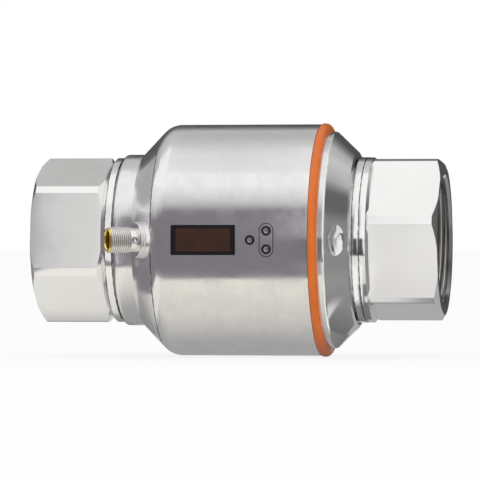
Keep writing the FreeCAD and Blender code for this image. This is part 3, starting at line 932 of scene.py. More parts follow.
@dataclass
class PipeAdapter(SubAssembly):
    """Hexagonal adapter with its port thread.

    Attributes:
        end: which end of the sensor it closes.
        finish: its finish.
        root_radius: the port's wall, which is the thread's root.
        crest_radius: the thread's inner radius.
        pitch: the thread's pitch.
        wall: X span of the port's wall, from the sensor's middle.
        steps: points along one turn.
        growth: how fast the ridge grows and fades at its ends, per turn.
        flank: height and steepness of the ridge's flanks, before they are held at the crest.
        sink: how far the ridge's foot and its back lie in the wall.
        rings: the collar has two rings with a bevel.
        ring_span: X of the first ring.
        band_span: X of the second ring.
        ring_radius: outside of both rings.
        band_bevel: length and depth of the bevel beside the hexagon.
        ring_groove: depth of the groove between the rings.
        ring_inner: inside of the rings, in the adapter's metal.
        ring_fall: how far the second ring falls towards its bevel.
        ring_rounds: rounding at the first edge, in the groove, at the bevel's top and at its foot.
    """

    end: End
    finish: Finish
    root_radius: float = 29.8
    crest_radius: float = 28.4
    pitch: float = 2.309
    wall: Pair = (73.0, 95.3)
    steps: int = 96
    growth: float = 3.0
    flank: Pair = (1.25, 2.5)
    sink: Pair = (0.06, 0.5)
    rings: bool = False
    ring_span: Pair = (56.5, 60.15)
    band_span: Pair = (60.4, 63.2)
    ring_radius: float = 39.3
    band_bevel: Pair = (1.3, 1.9)
    ring_groove: float = 0.35
    ring_inner: float = 34.5
    ring_fall: float = 0.1
    ring_rounds: Four = (0.15, 0.1, 0.5, 0.2)

    def nodes(self) -> dict[str, Finish]:
        """The adapter itself."""
        return {f"{self.end.name.lower()}_adapter": self.finish}

    def thread(self) -> Patch:
        """Port thread: a ridge carried along a helix on the port's wall.

        The place along the axis grows by one pitch per turn. Across the path the ridge rises in a smooth
        step to a flat crest, and its back lies in the wall. Its size fades to nothing at both ends.

        Returns:
            The ridge as one closed patch.
        """
        start, end = self.wall
        turns = (end - start) / self.pitch - 1.0
        turn = np.linspace(0.0, turns, int(turns * self.steps))[:, None]
        size = fade(self.growth * turn) * fade(self.growth * (turns - turn))
        across = np.append(np.linspace(-0.5, 0.5, 15), 0.0)[None, :]
        depth = self.root_radius - self.crest_radius
        top, steepness = self.flank
        rise = fade(top - steepness * np.abs(across))
        foot, back = self.sink
        height = depth * rise - foot
        height[:, -1] = -back
        distance = start + self.pitch * (turn + 0.5 + across * size)
        points = FLOW_AXIS.place(self.end.value * distance, self.root_radius - height * size, TAU * turn)
        # The depth drives the painted shade in the thread's roots.
        return Patch(points, ring_columns=True, depth=np.broadcast_to(1.0 - rise, points.shape[:2]))

    def collar_rings(self) -> Patch:
        """Two rings with a groove between them and a bevel at the hexagon, turned about the flow axis.

        Returns:
            The rings as one closed patch.
        """
        start, end = self.ring_span
        again, bevel = self.band_span
        length, drop = self.band_bevel
        first, inner, crest, foot = self.ring_rounds
        outline = rounded_outline([
            (start, self.ring_inner, 0.0),
            (start, self.ring_radius, first),
            (end, self.ring_radius, inner),
            (end, self.ring_radius - self.ring_groove, 0.0),
            (again, self.ring_radius - self.ring_groove, 0.0),
            (again, self.ring_radius, inner),
            (bevel, self.ring_radius - self.ring_fall, crest),
            (bevel + length, self.ring_radius - drop, foot),
            (bevel + length, self.ring_inner, 0.0),
        ])
        outline[:, 0] *= self.end.value
        return FLOW_AXIS.turned(outline, LARGE_STEPS)

    def pieces(self) -> None:
        """The port thread, and the collar's rings where there are any."""
        side = self.end.name.lower()
        thread = skin(f"{side}_port_thread", [self.thread()], THREAD_CREASE)
        fitted(thread, THREAD_STEEL, "turned_steel", MAIN_BODY)
        if self.rings:
            rings = skin(f"{side}_collar_rings", [self.collar_rings()])
            fitted(rings, self.finish, "turned_steel", MAIN_BODY)


@dataclass
class DisplayUnit(SubAssembly):
    """Window with its seal, and the boards and display behind it.

    Attributes:
        opening: width and height of the window's opening in the drum.
        border: width of the window's black border at its sides and at its top and foot.
    """

    opening: Pair = (30.4, 14.0)
    border: Pair = (2.4, 1.6)

    def nodes(self) -> dict[str, Finish]:
        """The tinted window and what lies behind it.

        Returns:
            Finishes by node.
        """
        middle = (node_middle("display_window")[0] * MM, 0.0)
        half = tuple((size / 2 - edge) * MM for size, edge in zip(self.opening, self.border))
        pane = TintedPane("window_tinted", WINDOW_TINT, WINDOW_BORDER, middle, half)
        return {
            "display_window": pane,
            "window_gasket": BLACK_RUBBER,
            "main_board": BOARD_GREEN,
            "display_module": DISPLAY_BLACK,
            "tactile_switches": CASE_BLACK,
            "upper_board_rail": CASE_BLACK,
            "lower_board_rail": CASE_BLACK,
            "board_screws": SCREW_STEEL,
        }


@dataclass
class ButtonCluster(SubAssembly):
    """Three sprung caps in their guide, with the etched line round the pair.

    Attributes:
        drum_radius: radius of the drum that the line lies on.
        sleeve_bore: radius of the hole in a sleeve's rim.
        sleeve_radius: outside of a sleeve.
        sleeve_stand: how far a sleeve stands out of the drum.
        rim_stand: how far a rim stands on its sleeve.
        rim_foot: how far a rim reaches into the drum.
        rim_rounds: rounding of a rim's inner and outer edge.
        dish: depth of the caps' dish.
        pip: radius and height of the raised pip in the dish.
        lip: width of the round lip about the dish.
        flange: thickness of the flange that holds a cap in.
        stem_radius: radius of a cap.
        line_half: half the width and height of the etched line's outline.
        line_width: width of the etched line.
        line_stand: how far the line stands on the drum, and how far it reaches in.
    """

    drum_radius: float
    sleeve_bore: float = 1.62
    sleeve_radius: float = 2.25
    sleeve_stand: float = 0.2
    rim_stand: float = 0.14
    rim_foot: float = 0.3
    rim_rounds: Pair = (0.08, 0.25)
    dish: float = 0.4
    pip: Pair = (0.6, 0.3)
    lip: float = 0.22
    flange: float = 0.8
    stem_radius: float = 1.45
    line_half: Pair = (3.2, 7.75)
    line_width: float = 0.42
    line_stand: Pair = (0.02, 0.05)

    CAPS = {"button_enter": "enter_button", "button_up": "up_button", "button_down": "down_button"}

    def nodes(self) -> dict[str, Finish]:
        """The guide with its sleeves."""
        return {"button_guide": GUIDE_BLACK}

    def cap(self, node: str) -> Patch:
        """Cap turned about its own line: parabolic dish with a smooth pip, half-round lip, stem and flange.

        Args:
            node: the cap's node, which gives its place and reach.

        Returns:
            The cap as one closed patch.
        """
        low, high = node_box(node)
        middle = node_middle(node)
        axis = Axis((middle[0], low[1], middle[2]), (0.0, -1.0, 0.0), (1.0, 0.0, 0.0))
        reach = high[1] - low[1]
        flange_radius = (high[0] - low[0]) / 2
        bowl = self.stem_radius - self.lip
        radius = np.linspace(0.0, bowl, 16)
        half = self.lip / 2
        pip = self.pip[1] * fade(1.0 - radius / self.pip[0])
        dish = np.stack([self.dish * ((radius / bowl) ** 2 - 1.0) - half + pip, radius], axis=1)
        turn = np.linspace(math.pi, 0.0, 9)[1:]
        lip = np.stack([half * np.sin(turn) - half, bowl + half + half * np.cos(turn)], axis=1)
        stem = np.array([
            (-(reach - self.flange), self.stem_radius),
            (-(reach - self.flange), flange_radius),
            (-reach, flange_radius),
            (-reach, 0.0),
        ])
        return axis.turned(np.concatenate([dish, lip, stem]), columns=48, closed=False)

    def rim(self, node: str) -> Patch:
        """Rounded rim on a sleeve's end, turned about the drum's own normal there.

        Args:
            node: the cap that the sleeve guides.

        Returns:
            The rim as one closed patch.
        """
        x, _, z = node_middle(node)
        front = math.sqrt(self.drum_radius**2 - z**2)
        outward = (0.0, -front / self.drum_radius, z / self.drum_radius)
        axis = Axis((x, -front, z), outward, (1.0, 0.0, 0.0))
        top = self.sleeve_stand + self.rim_stand
        inner, outer = self.rim_rounds
        outline = rounded_outline([
            (-self.rim_foot, self.sleeve_bore, 0.0),
            (top, self.sleeve_bore, inner),
            (top, self.sleeve_radius, outer),
            (-self.rim_foot, self.sleeve_radius, 0.0),
        ])
        return axis.turned(outline, columns=64)

    def etched_line(self) -> Patch:
        """Thin line round the pair: a flat profile carried along a stadium outline wrapped on the drum.

        The outline runs up one side, round a half circle and down the other in even steps. Each point goes
        to the drum's surface straight back along Y, and the profile stands on the surface there.

        Returns:
            The line as one closed patch.
        """
        middle = (node_middle("button_up") + node_middle("button_down")) / 2
        arc = self.line_half[0] - ARC_SLACK
        corners = [(middle[0] + x, z, arc) for x, z in rectangle(*self.line_half)]
        outline = evenly(rounded_outline(corners, steps=24), count=240)
        depth = -np.sqrt(self.drum_radius**2 - outline[:, 1] ** 2)
        path = np.stack([outline[:, 0], depth, outline[:, 1]], axis=1)
        outward = unit(path * np.array([0.0, 1.0, 1.0]))
        tangent = unit(np.roll(path, -1, axis=0) - np.roll(path, 1, axis=0))
        sideways = np.cross(tangent, outward)
        side = self.line_width / 2 * np.array([-1.0, 1.0, 1.0, -1.0])
        over, under = self.line_stand
        stand = np.array([over, over, -under, -under])
        points = path[:, None] + side[:, None] * sideways[:, None] + stand[:, None] * outward[:, None]
        return Patch(points, ring_rows=True, ring_columns=True)

    def pieces(self) -> None:
        """Caps on their own bodies, rims and the etched line on the drum's."""
        for node, body in self.CAPS.items():
            cap = skin(f"{node}_cap", [self.cap(node)], SOFT_CREASE)
            fitted(cap, CAP_SMOKED, "button_plastic", body, node)
        rims = skin("button_sleeve_rims", [self.rim(node) for node in self.CAPS], SOFT_CREASE)
        fitted(rims, GUIDE_BLACK, "black_plastic", MAIN_BODY)
        fitted(skin("button_pair_line", [self.etched_line()]), ETCHED_LINE, "brushed_steel", MAIN_BODY)


@dataclass
class PlugConnector(SubAssembly):
    """Threaded plug on the cone: boss, sleeve, contact carrier and pins. Sizes run along its own line.

    Attributes:
        drum: the housing that the boss stands on.
        foot: the point where its line starts, inside the cone.
        tilt: degrees that it leans from the flow axis to the front.
        boss_radius: outside of the boss.
        boss_span: from the boss's root to its top.
        groove: place, width and depth of the first rib groove from the top.
        groove_pitch: distance between the two grooves.
        boss_gap: room between the boss's bore and the sleeve.
        boss_rounds: rounding of a groove's lips, its floor, the boss's top and its bore.
        relief_radius: plain part of the sleeve.
        thread_radius: outside of the thread.
        thread_span: from the thread's start to the sleeve's tip.
        pitch: the thread's pitch.
        thread_depth: depth of the thread.
        thread_flank: shares of half a pitch for the root and for the rise to the crest.
        run_in: how far before its start the thread grows from nothing, and over what length.
        run_out: plain length at the tip, and the length over which the thread fades before it.
        chamfers: bevel of the tip outside and in the socket's mouth.
        row: distance between rows of points along the sleeve.
        socket_radius: bore of the socket.
        tail: end of the sleeve inside the boss.
        mark: place along the line, radius and depth of the coding mark.
        mark_ring: middle and half width of the dark ring in the mark, as shares of its radius.
        pins: number of pins.
        pin_radius: radius of a pin.
        pin_circle: radius of the circle that the pins stand on.
        pin_tip: the pins' ends.
        bare_tip: length of the sleeve's bare end.
    """

    drum: DrumHousing
    foot: Vector3 = (-39.8, -45.502, 0.0)
    tilt: float = 28.0
    boss_radius: float = 8.4
    boss_span: Pair = (-3.0, 4.45)
    groove: Vector3 = (3.15, 0.5, 0.4)
    groove_pitch: float = 1.3
    boss_gap: float = 0.05
    boss_rounds: Four = (0.12, 0.08, 0.5, 0.1)
    relief_radius: float = 5.5
    thread_radius: float = 6.0
    thread_span: Pair = (8.0, 18.4)
    pitch: float = 1.0
    thread_depth: float = 0.3
    thread_flank: Pair = (0.1, 0.75)
    run_in: Pair = (0.4, 0.8)
    run_out: Pair = (0.3, 0.9)
    chamfers: Pair = (0.7, 0.25)
    row: float = 0.1
    socket_radius: float = 4.55
    tail: float = -4.0
    mark: Vector3 = (6.225, 1.5, 0.6)
    mark_ring: Pair = (0.8, 0.3)
    pins: int = 4
    pin_radius: float = 0.5
    pin_circle: float = 2.4
    pin_tip: float = 16.4
    bare_tip: float = 0.9

    def nodes(self) -> dict[str, Finish]:
        """The contact carrier, its lining and the seal in the boss."""
        return {"connector_insert": GOLD, "connector_lining": GOLD, "connector_seal": BLACK_RUBBER}

    def axis(self) -> Axis:
        """The connector's line, with the zero angle on its outer side.

        Returns:
            The line, in millimetres.
        """
        lean = math.radians(self.tilt)
        along = (-math.cos(lean), -math.sin(lean), 0.0)
        return Axis(self.foot, along, (math.sin(lean), -math.cos(lean), 0.0))

    def plating(self) -> Finish:
        """Nickel on the sleeve, worn through to brass at its tip.

        Returns:
            The sleeve's finish.
        """
        axis = self.axis()
        origin = tuple(part * MM for part in axis.origin)
        tip_from = (self.thread_span[1] - self.bare_tip) * MM
        metal = ("plug_nickel", NICKEL_LIGHT, NICKEL_DARK, NICKEL_GROOVE_SHADE, 0.16)
        return ThreadCut(*metal, BRASS, origin, axis.along, tip_from)

    def sleeve(self) -> Patch:
        """Plug sleeve: radius as a function of place along the line and angle round it.

        The thread's height is a triangle wave of place over pitch less angle over a full turn, eased at
        crest and root and faded in and out at its ends. The coding mark is a parabolic dip in a dark ring.
        The bore closes the outline.

        Returns:
            The sleeve as one closed patch.
        """
        start, tip = self.thread_span
        before, growth = self.run_in
        plain, fading = self.run_out
        root, rise = self.thread_flank
        outside, mouth = self.chamfers
        rows = np.arange(self.boss_span[1] - 2 * self.row, tip + self.row / 10, self.row)
        along = np.concatenate([[self.tail], rows])[:, None]
        angle = np.linspace(0.0, TAU, 144, endpoint=False)[None, :]
        wave = np.abs(2.0 * ((along / self.pitch - angle / TAU) % 1.0) - 1.0)
        root_share = 1.0 - fade((wave - root) / rise)
        cut = self.thread_depth * fade((along - start + before) / growth)
        cut = cut * fade((tip - along - plain) / fading)
        radius = np.where(along < start, self.relief_radius, self.thread_radius - cut * root_share)
        radius = np.minimum(radius, self.thread_radius - np.maximum(0.0, along - tip + outside))
        place, width, depth = self.mark
        side = self.relief_radius * ((angle + math.pi) % TAU - math.pi)
        away = np.hypot(along - place, side) / width
        radius = radius - depth * np.maximum(0.0, 1.0 - away**2)
        bore = np.array([
            (tip, self.socket_radius + mouth),
            (tip - mouth, self.socket_radius),
            (self.tail, self.socket_radius),
        ])
        inner = np.repeat(bore[:, 1:], angle.shape[1], axis=1)
        distance = np.concatenate([along, bore[:, :1]])
        points = self.axis().place(distance, np.concatenate([radius, inner]), angle)
        middle, half = self.mark_ring
        ring = fade(1.0 - np.abs(away - middle) / half)
        # The depth drives painted shade in the thread's roots, and the mark's dark ring.
        groove = np.where(along < start, ring, cut / self.thread_depth * root_share)
        groove = np.concatenate([groove, np.zeros_like(inner)])
        return Patch(points, ring_rows=True, ring_columns=True, depth=groove)

    def boss(self) -> Patch:
        """Boss with two rib grooves and a rounded top, turned about the line.

        Returns:
            The boss as one closed patch.
        """
        root, top = self.boss_span
        first, width, depth = self.groove
        lip, floor, edge, mouth = self.boss_rounds
        bore = self.relief_radius + self.boss_gap
        corners = [(root, bore, 0.0), (root, self.boss_radius, 0.0)]
        for place in (first - self.groove_pitch, first):
            corners += [
                (place, self.boss_radius, lip),
                (place, self.boss_radius - depth, floor),
                (place + width, self.boss_radius - depth, floor),
                (place + width, self.boss_radius, lip),
            ]
        corners += [(top, self.boss_radius, edge), (top, bore, mouth)]
        return self.axis().turned(rounded_outline(corners, steps=5), columns=96)

    def weld(self, bead: float = 0.35, ripple: float = 0.1, ripples: int = 36, reach: float = 8.0) -> Patch:
        """Weld bead: a round profile carried along the curve in which the boss meets the housing.

        For each angle round the boss, the distance along the line is halved down between a point inside the
        housing's outline and one outside it.

        Args:
            bead: radius of the profile.
            ripple: share by which the radius swells and thins.
            ripples: how often it does so round the boss.
            reach: how far along the line the curve is looked for, either way.

        Returns:
            The bead as one closed patch.
        """
        axis = self.axis()
        angle = np.linspace(0.0, TAU, 120, endpoint=False)
        inner = np.full(angle.shape, -reach)
        outer = np.full(angle.shape, reach)
        for _ in range(40):
            middle = (inner + outer) / 2
            point = axis.place(middle, self.boss_radius, angle)
            inside = np.hypot(point[:, 1], point[:, 2]) < self.drum.radius_at(point[:, 0])
            inner = np.where(inside, middle, inner)
            outer = np.where(inside, outer, middle)
        path = axis.place(inner, self.boss_radius, angle)
        tangent = unit(np.roll(path, -1, axis=0) - np.roll(path, 1, axis=0))
        outward = axis.place(0.0, 1.0, angle) - np.array(axis.origin)
        upward = np.cross(tangent, outward)
        radius = bead * (1.0 + ripple * np.sin(ripples * angle))[:, None, None]
        turn = np.linspace(0.0, TAU, 12, endpoint=False)[None, :, None]
        points = path[:, None] + radius * (np.cos(turn) * outward[:, None] + np.sin(turn) * upward[:, None])
        return Patch(points, ring_rows=True, ring_columns=True)

    def pin(self, index: int) -> Patch:
        """One contact pin with a domed tip, turned about its own line.

        Args:
            index: which of the pins.

        Returns:
            The pin as one closed patch.
        """
        axis = self.axis()
        angle = np.array(math.pi / 4 + index * math.pi / 2)
        origin = axis.place(np.array(0.0), np.array(self.pin_circle), angle)
        turn = np.linspace(0.0, math.pi / 2, 6)
        dome = np.stack([
            self.pin_tip - self.pin_radius * (1.0 - np.sin(turn)),
            self.pin_radius * np.cos(turn),
        ], axis=1)
        outline = np.concatenate([[(self.tail, 0.0), (self.tail, self.pin_radius)], dome])
        return Axis(tuple(origin), axis.along, axis.across).turned(outline, columns=20, closed=False)

    def pieces(self) -> None:
        """Boss, weld, sleeve and pins."""
        fitted(skin("ribbed_boss", [self.boss()]), BOSS_STEEL, "boss_steel", MAIN_BODY, "connector_boss")
        fitted(skin("boss_weld", [self.weld()]), WELD_STEEL, "boss_steel", MAIN_BODY)
        sleeve = skin("plug_sleeve", [self.sleeve()], SOFT_CREASE)
        fitted(sleeve, self.plating(), "nickel_plate", MAIN_BODY, "connector_body")
        pins = skin("contact_pins", [self.pin(index) for index in range(self.pins)], SOFT_CREASE)
        fitted(pins, GOLD, "gold_plate", MAIN_BODY, "connector_pins")


@dataclass
class FlowPath(SubAssembly):
    """Measuring tube, liner, end seals and electrodes."""

    def nodes(self) -> dict[str, Finish]:
        """Everything that the liquid or its signal touches.

        Returns:
            Finishes by node.
        """
        return {
            "flow_tube": TUBE_STEEL,
            "tube_liner": LINER_WHITE,
            "inlet_gasket": BLACK_RUBBER,
            "outlet_gasket": BLACK_RUBBER,
            "front_electrode": ELECTRODE_STEEL,
            "rear_electrode": ELECTRODE_STEEL,
            "front_electrode_bush": LINER_WHITE,
            "rear_electrode_bush": LINER_WHITE,
            "electrode_nuts": SCREW_STEEL,
        }


@dataclass
class FieldCoils(SubAssembly):
    """The two coils on their pole shoes, and the iron band that joins them."""

    def nodes(self) -> dict[str, Finish]:
        """Iron, bobbins and windings.

        Returns:
            Finishes by node.
        """
        return {
            "upper_pole_shoe": MAGNET_IRON,
            "lower_pole_shoe": MAGNET_IRON,
            "return_yoke": MAGNET_IRON,
            "upper_bobbin": CASE_BLACK,
            "lower_bobbin": CASE_BLACK,
            "upper_winding": COPPER,
            "lower_winding": COPPER,
        }


@dataclass
class Studio:
    """Camera, soft light, pale floor and the cards that the metal reflects.

    Attributes:
        focal_pixels: focal length in pixels of the picture.
        picture: width of the picture in pixels.
        turn: degrees that the camera stands to the outlet side of straight on.
        distance: from the camera to its target, in metres.
        target_x: X of the point that the camera looks at, in metres.
        floor_z: height of the floor, in metres.
        floor_half: half the floor's width, in metres.
        floor_glow: share of plain white in the floor that the camera sees.
        fill: level of the soft light from all round.
        wall_lift: height of a wall's foot over the floor, in metres.
        strip_lift: height of a strip over the floor, in metres.
        board_lift: height of the board's foot over the floor, in metres.
        gleam_lift: height of the light strip at the outlet over the floor, in metres.
    """

    focal_pixels: float = 4200.0
    picture: float = 480.0
    turn: float = 8.9
    distance: float = 2.0026
    target_x: float = -0.00165
    floor_z: float = -0.0557
    floor_half: float = 20.0
    floor_glow: float = 0.85
    fill: float = 0.85
    wall_lift: float = 0.0004
    strip_lift: float = 0.0006
    board_lift: float = 0.0008
    gleam_lift: float = 0.001

    def camera(self) -> None:
        """Puts a long level lens in front of the drum."""
        data = bpy.data.cameras.new("camera")
        data.sensor_width = 36.0
        data.lens = self.focal_pixels * data.sensor_width / self.picture
        data.clip_end = 100.0
        holder = bpy.data.objects.new("camera", data)
        turn = math.radians(self.turn)
        holder.location = (
            self.target_x + self.distance * math.sin(turn),
            -self.distance * math.cos(turn),
            0.0,
        )
        holder.rotation_euler = (math.pi / 2, 0.0, turn)
        bpy.context.scene.collection.objects.link(holder)
        bpy.context.scene.camera = holder

    def world(self, level: float) -> None:
        """White where the camera and reflections see it, and a soft light of the given level elsewhere.

        Args:
            level: strength of the soft light.
        """
        world = bpy.data.worlds.new("studio")
        world.use_nodes = True
        graph = Graph(world.node_tree)
        graph.tree.nodes.clear()
        path = graph.add("ShaderNodeLightPath").outputs
        seen = graph.math("MAXIMUM", path["Is Camera Ray"], path["Is Glossy Ray"])
        seen = graph.math("MAXIMUM", seen, path["Is Transmission Ray"])
        strength = graph.spread(seen, level, 1.0)
        shell = graph.add("ShaderNodeBackground", {"Color": opaque(WHITE), "Strength": strength})
        graph.add("ShaderNodeOutputWorld", {"Surface": shell.outputs[0]})
        bpy.context.scene.world = world

    def lamp(
        self, name: str, place: Vector3, aim: Vector3, size: Pair, radiance: float
    ) -> None:
        """Adds a softbox of a given brightness, which the metal doesn't mirror over the white world.

        Args:
            name: the lamp's name.
            place: its centre, in metres.
            aim: the point it faces.
            size: its width and height, in metres.
            radiance: brightness of its face; its power is that times pi times its area.
        """
        data = bpy.data.lights.new(name, "AREA")
        data.shape = "RECTANGLE"
        data.size, data.size_y = size
        data.energy = radiance * math.pi * size[0] * size[1]
        holder = bpy.data.objects.new(name, data)
        holder.location = place
        away = np.array(place) - np.array(aim)
        flat = math.hypot(away[0], away[1])
        holder.rotation_euler = (math.atan2(flat, away[2]), 0.0, math.atan2(away[0], -away[1]))
        holder.visible_glossy = False
        bpy.context.scene.collection.objects.link(holder)

    def plane(self, name: str, corners: Sequence[Vector3], material: bpy.types.Material) -> Piece:
        """A four-cornered plane of the stage, with the corners' own UV square.

        Args:
            name: the plane's name.
            corners: its corners in metres, lower left, lower right, upper right and upper left.
            material: its material.

        Returns:
            The plane's object.
        """
        mesh = bpy.data.meshes.new(name)
        mesh.from_pydata(corners, [], [(0, 1, 2, 3)])
        mesh.uv_layers.new(name="square").data.foreach_set("uv", [0, 0, 1, 0, 1, 1, 0, 1])
        mesh.materials.append(material)
        holder = bpy.data.objects.new(name, mesh)
        bpy.context.scene.collection.objects.link(holder)
        return holder

    def floor(self) -> None:
        """A wide pale floor that takes the object's shadow and is white to the camera."""
        material = bpy.data.materials.new("floor_white")
        material.use_nodes = True
        graph = Graph(material.node_tree)
        graph.tree.nodes.clear()
        camera = graph.add("ShaderNodeLightPath").outputs["Is Camera Ray"]
        paper = graph.add("ShaderNodeBsdfDiffuse", {"Color": opaque(PAPER)})
        glow = graph.add("ShaderNodeEmission", {"Color": opaque(WHITE), "Strength": 1.0})
        share = graph.math("MULTIPLY", camera, self.floor_glow)
        both = graph.add("ShaderNodeMixShader", {0: share, 1: paper.outputs[0], 2: glow.outputs[0]})
        graph.add("ShaderNodeOutputMaterial", {"Surface": both.outputs[0]})
        corners = rectangle(self.floor_half, self.floor_half)
        self.plane("floor", [(x, y, self.floor_z) for x, y in corners], material)

    def card(self, name: str, corners: Sequence[Vector3], stops: Stops, one_sided: bool = False) -> None:
        """Adds a card that only reflections see.

        Args:
            name: the card's name.
            corners: its corners in metres, lower left, lower right, upper right and upper left.
            stops: heights from 0 to 1 with the card's colour there.
            one_sided: the card's back is clear.
        """
        material = bpy.data.materials.new(name)
        material.use_nodes = True
        graph = Graph(material.node_tree)
        graph.tree.nodes.clear()
        square = graph.add("ShaderNodeUVMap").outputs[0]
        height = graph.add("ShaderNodeSeparateXYZ", {0: square}).outputs["Y"]
        ramp = graph.add("ShaderNodeValToRGB", {0: height})
        while len(ramp.color_ramp.elements) < len(stops):
            ramp.color_ramp.elements.new(0.5)
        for element, (position, color) in zip(ramp.color_ramp.elements, stops):
            element.position = position
            element.color = opaque(color)
        glow = graph.add("ShaderNodeEmission", {"Color": ramp.outputs[0], "Strength": 1.0})
        face = glow.outputs[0]
        if one_sided:
            behind = graph.add("ShaderNodeNewGeometry").outputs["Backfacing"]
            clear = graph.add("ShaderNodeBsdfTransparent").outputs[0]
            face = graph.add("ShaderNodeMixShader", {0: behind, 1: face, 2: clear}).outputs[0]
        graph.add("ShaderNodeOutputMaterial", {"Surface": face})
        holder = self.plane(name, corners, material)
        holder.visible_camera = False
        holder.visible_diffuse = False
        holder.visible_shadow = False
        holder.visible_transmission = False

    def wall(self, name: str, run: Sequence[Vector3], stops: Stops) -> None:
        """Upright cards over a run of floor points.

        Args:
            name: the cards' name.
            run: X and Y of the wall's foot and the height of its top, in metres.
            stops: shares of the height from 0 to 1 with the colour there.
        """
        low = self.floor_z + self.wall_lift
        for index, ((x0, y0, top0), (x1, y1, top1)) in enumerate(zip(run, run[1:])):
            corners = [(x0, y0, low), (x1, y1, low), (x1, y1, top1), (x0, y0, top0)]
            self.card(f"{name}_{index}", corners, stops)

    def strip(self, name: str, near: Run, far: Run, stops: Stops) -> None:
        """Cards that lie on the floor between two runs of points.

        Args:
            name: the cards' name.
            near: X and Y of the run beside the object, in metres.
            far: as many points further out.
            stops: shares of the way from far to near with the colour there.
        """
        low = self.floor_z + self.strip_lift
        sides = list(zip(far, near))
        for index, ((far0, near0), (far1, near1)) in enumerate(zip(sides, sides[1:])):
            corners = [(*point, low) for point in (far0, far1, near1, near0)]
            self.card(f"{name}_{index}", corners, stops)

    def front_cards(self) -> None:
        """The dim room that the front mirrors, its table, dark patches for collar and plug, and a board.

        The board stands out in front of the inlet and lights its front flat. The drum sees it edge-on.
        """
        dim = (0.222, 0.21, 0.236)
        rising = [(0.0, dim), (0.45, dim), *greys((0.56, 0.6), (0.69, 0.78), (1.0, 1.0))]
        room = [
            (0.006, -0.35, 0.47),
            (-0.17, -0.35, 0.46),
            (-0.27, -0.27, 0.38),
            (-0.35, -0.13, 0.27),
            (-0.38, 0.02, 0.23),
        ]
        self.wall("front_room", room, rising)
        edge = [(0.035, -0.1), (-0.06, -0.097), (-0.1, -0.088), (-0.112, -0.06), (-0.112, 0.02)]
        self.strip("front_table", edge, [(x, y) for x, y, _ in room], even(dim))
        self.wall("collar_flag", [(0.006, -0.349, 0.012), (0.047, -0.349, 0.012)], even(grey(0.06)))
        near, far = [(0.029, -0.158), (0.064, -0.158)], [(0.006, -0.349), (0.047, -0.349)]
        self.strip("collar_shade", near, far, even(grey(0.06)))
        near, far = [(0.0583, -0.1621), (0.0747, -0.1445)], [(0.345, -0.434), (0.361, -0.416)]
        self.strip("plug_shade", near, far, even(grey(0.04)))
        low, high = self.floor_z + self.board_lift, 0.095
        (x0, y0), (x1, y1) = (-0.0676, -0.1025), (-0.1406, -0.2411)
        corners = [(x0, y0, high), (x0, y0, low), (x1, y1, low), (x1, y1, high)]
        pale = greys((0.0, 1.0), (0.11, 1.0), (0.19, 0.7), (1.0, 0.7))
        self.card("inlet_board", corners, pale, one_sided=True)

    def table_cards(self) -> None:
        """The lit table: cream before the drum, dusk under it, bright under the inlet, dull at the outlet.

        A light strip lies beside the outlet's foot and fades towards the port.
        """
        dusk = [
            (0.0, (0.86, 0.845, 0.775)),
            (0.2, (0.83, 0.81, 0.745)),
            (0.42, (0.71, 0.69, 0.655)),
            *greys((0.6, 0.42), (1.0, 0.3)),
        ]
        self.strip("drum_table", [(0.045, 0.03), (-0.06, 0.03)], [(0.045, -0.1), (-0.06, -0.097)], dusk)
        near, far = [(0.057, 0.03), (0.045, 0.03)], [(0.057, -0.1), (0.045, -0.1)]
        self.strip("collar_table", near, far, greys((0.0, 1.0), (0.55, 1.0), (0.64, 0.25), (1.0, 0.18)))
        bright = [(0.0, (0.95, 0.93, 0.89)), (0.76, (0.79, 0.78, 0.74)), *greys((0.86, 0.36), (1.0, 0.28))]
        near, far = [(-0.06, 0.02), (-0.112, 0.02)], [(-0.06, -0.097), (-0.112, -0.08)]
        self.strip("inlet_table", near, far, bright)
        near, far = [(-0.06, 0.021), (-0.38, 0.021)], [(-0.06, 0.45), (-0.5, 0.45)]
        self.strip("inlet_dusk", near, far, even(grey(0.27)))
        dull = greys((0.0, 0.3), (0.7, 0.28), (0.86, 0.34), (0.95, 0.28), (1.0, 0.17))
        near = [(0.12, -0.1), (0.09, -0.05), (0.057, -0.05), (0.057, 0.016)]
        far = [(0.5, -0.2), (0.5, -0.15), (0.5, -0.1), (0.5, 0.016)]
        self.strip("outlet_table", near, far, dull)
        low = self.floor_z + self.gleam_lift
        patch = [(0.059, -0.0235), (0.059, -0.0315), (0.092, -0.0315), (0.092, -0.0235)]
        gleam = greys((0.0, 0.8), (0.45, 0.75), (0.75, 0.45), (1.0, 0.3))
        self.card("outlet_gleam", [(x, y, low) for x, y in patch], gleam)
        near, far = [(0.057, 0.016), (0.045, 0.3)], [(0.5, 0.016), (0.5, 0.3)]
        self.strip("outlet_rear_table", near, far, even(grey(0.43)))

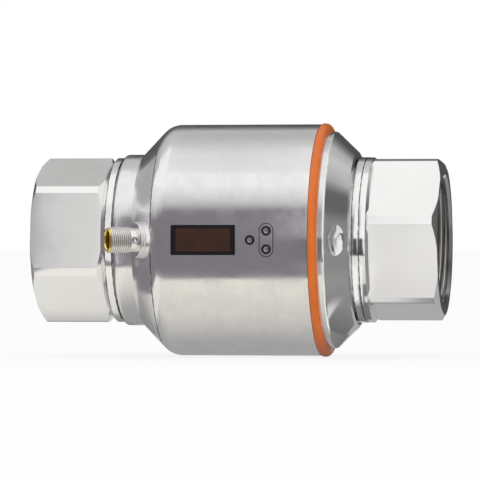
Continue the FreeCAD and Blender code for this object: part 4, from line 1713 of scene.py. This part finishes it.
    def wall_cards(self) -> None:
        """Grey walls beside and behind, darker low down, with a dark patch high on the outlet's side."""
        side = greys((0.0, 0.28), (0.35, 0.39), (1.0, 0.56))
        self.wall("inlet_wall", [(-0.5, 0.1, 0.5), (-0.5, 0.5, 0.5)], side)
        mild = greys((0.0, 0.27), (0.3, 0.27), (0.4, 0.14), (0.6, 0.14), (0.75, 0.5))
        dark = greys((0.0, 0.12), (0.4, 0.13), (0.55, 0.3), (0.72, 0.5), (1.0, 0.7))
        self.wall("outlet_wall", [(0.5, -0.17, 0.5), (0.5, 0.06, 0.5)], mild)
        self.wall("outlet_corner", [(0.5, 0.06, 0.5), (0.5, 0.5, 0.5)], dark)
        soft = greys((0.0, 0.45), (0.3, 0.55), (0.6, 0.8), (1.0, 1.0))
        self.wall("outlet_front", [(0.5, -0.17, 0.5), (0.36, -0.45, 0.5)], soft)
        behind = greys((0.0, 0.07), (0.18, 0.09), (0.24, 0.26), (0.29, 0.54), (0.57, 0.62), (1.0, 0.75))
        self.wall("back_wall", [(-1.2, 0.5, 1.8), (1.2, 0.5, 1.8)], behind)
        ceiling = [(-0.14, -0.25, 0.6), (-0.042, -0.25, 0.6), (-0.042, 0.5, 0.6), (-0.14, 0.5, 0.6)]
        self.card("ceiling", ceiling, greys((0.0, 0.86), (0.33, 0.8), (0.72, 0.55), (1.0, 0.48)))

    def build(self) -> None:
        """Sets up the whole studio."""
        bpy.context.scene.view_settings.view_transform = "Standard"
        self.camera()
        self.world(self.fill)
        self.floor()
        self.lamp("front_softbox", (-0.1, -0.75, 1.0), aim=(0.0, 0.0, 0.0), size=(1.3, 0.7), radiance=1.0)
        self.front_cards()
        self.table_cards()
        self.wall_cards()


def main() -> None:
    """Builds the studio and every sub-assembly."""
    Studio().build()
    drum = DrumHousing()
    for part in (
        drum,
        PipeAdapter(End.INLET, INLET_STEEL),
        PipeAdapter(End.OUTLET, OUTLET_STEEL, rings=True),
        DisplayUnit(),
        ButtonCluster(drum.drum_radius()),
        PlugConnector(drum),
        FlowPath(),
        FieldCoils(),
    ):
        part.build()


if __name__ == "__main__":
    logging.basicConfig(level=logging.INFO, format="%(name)s: %(message)s")
    main()
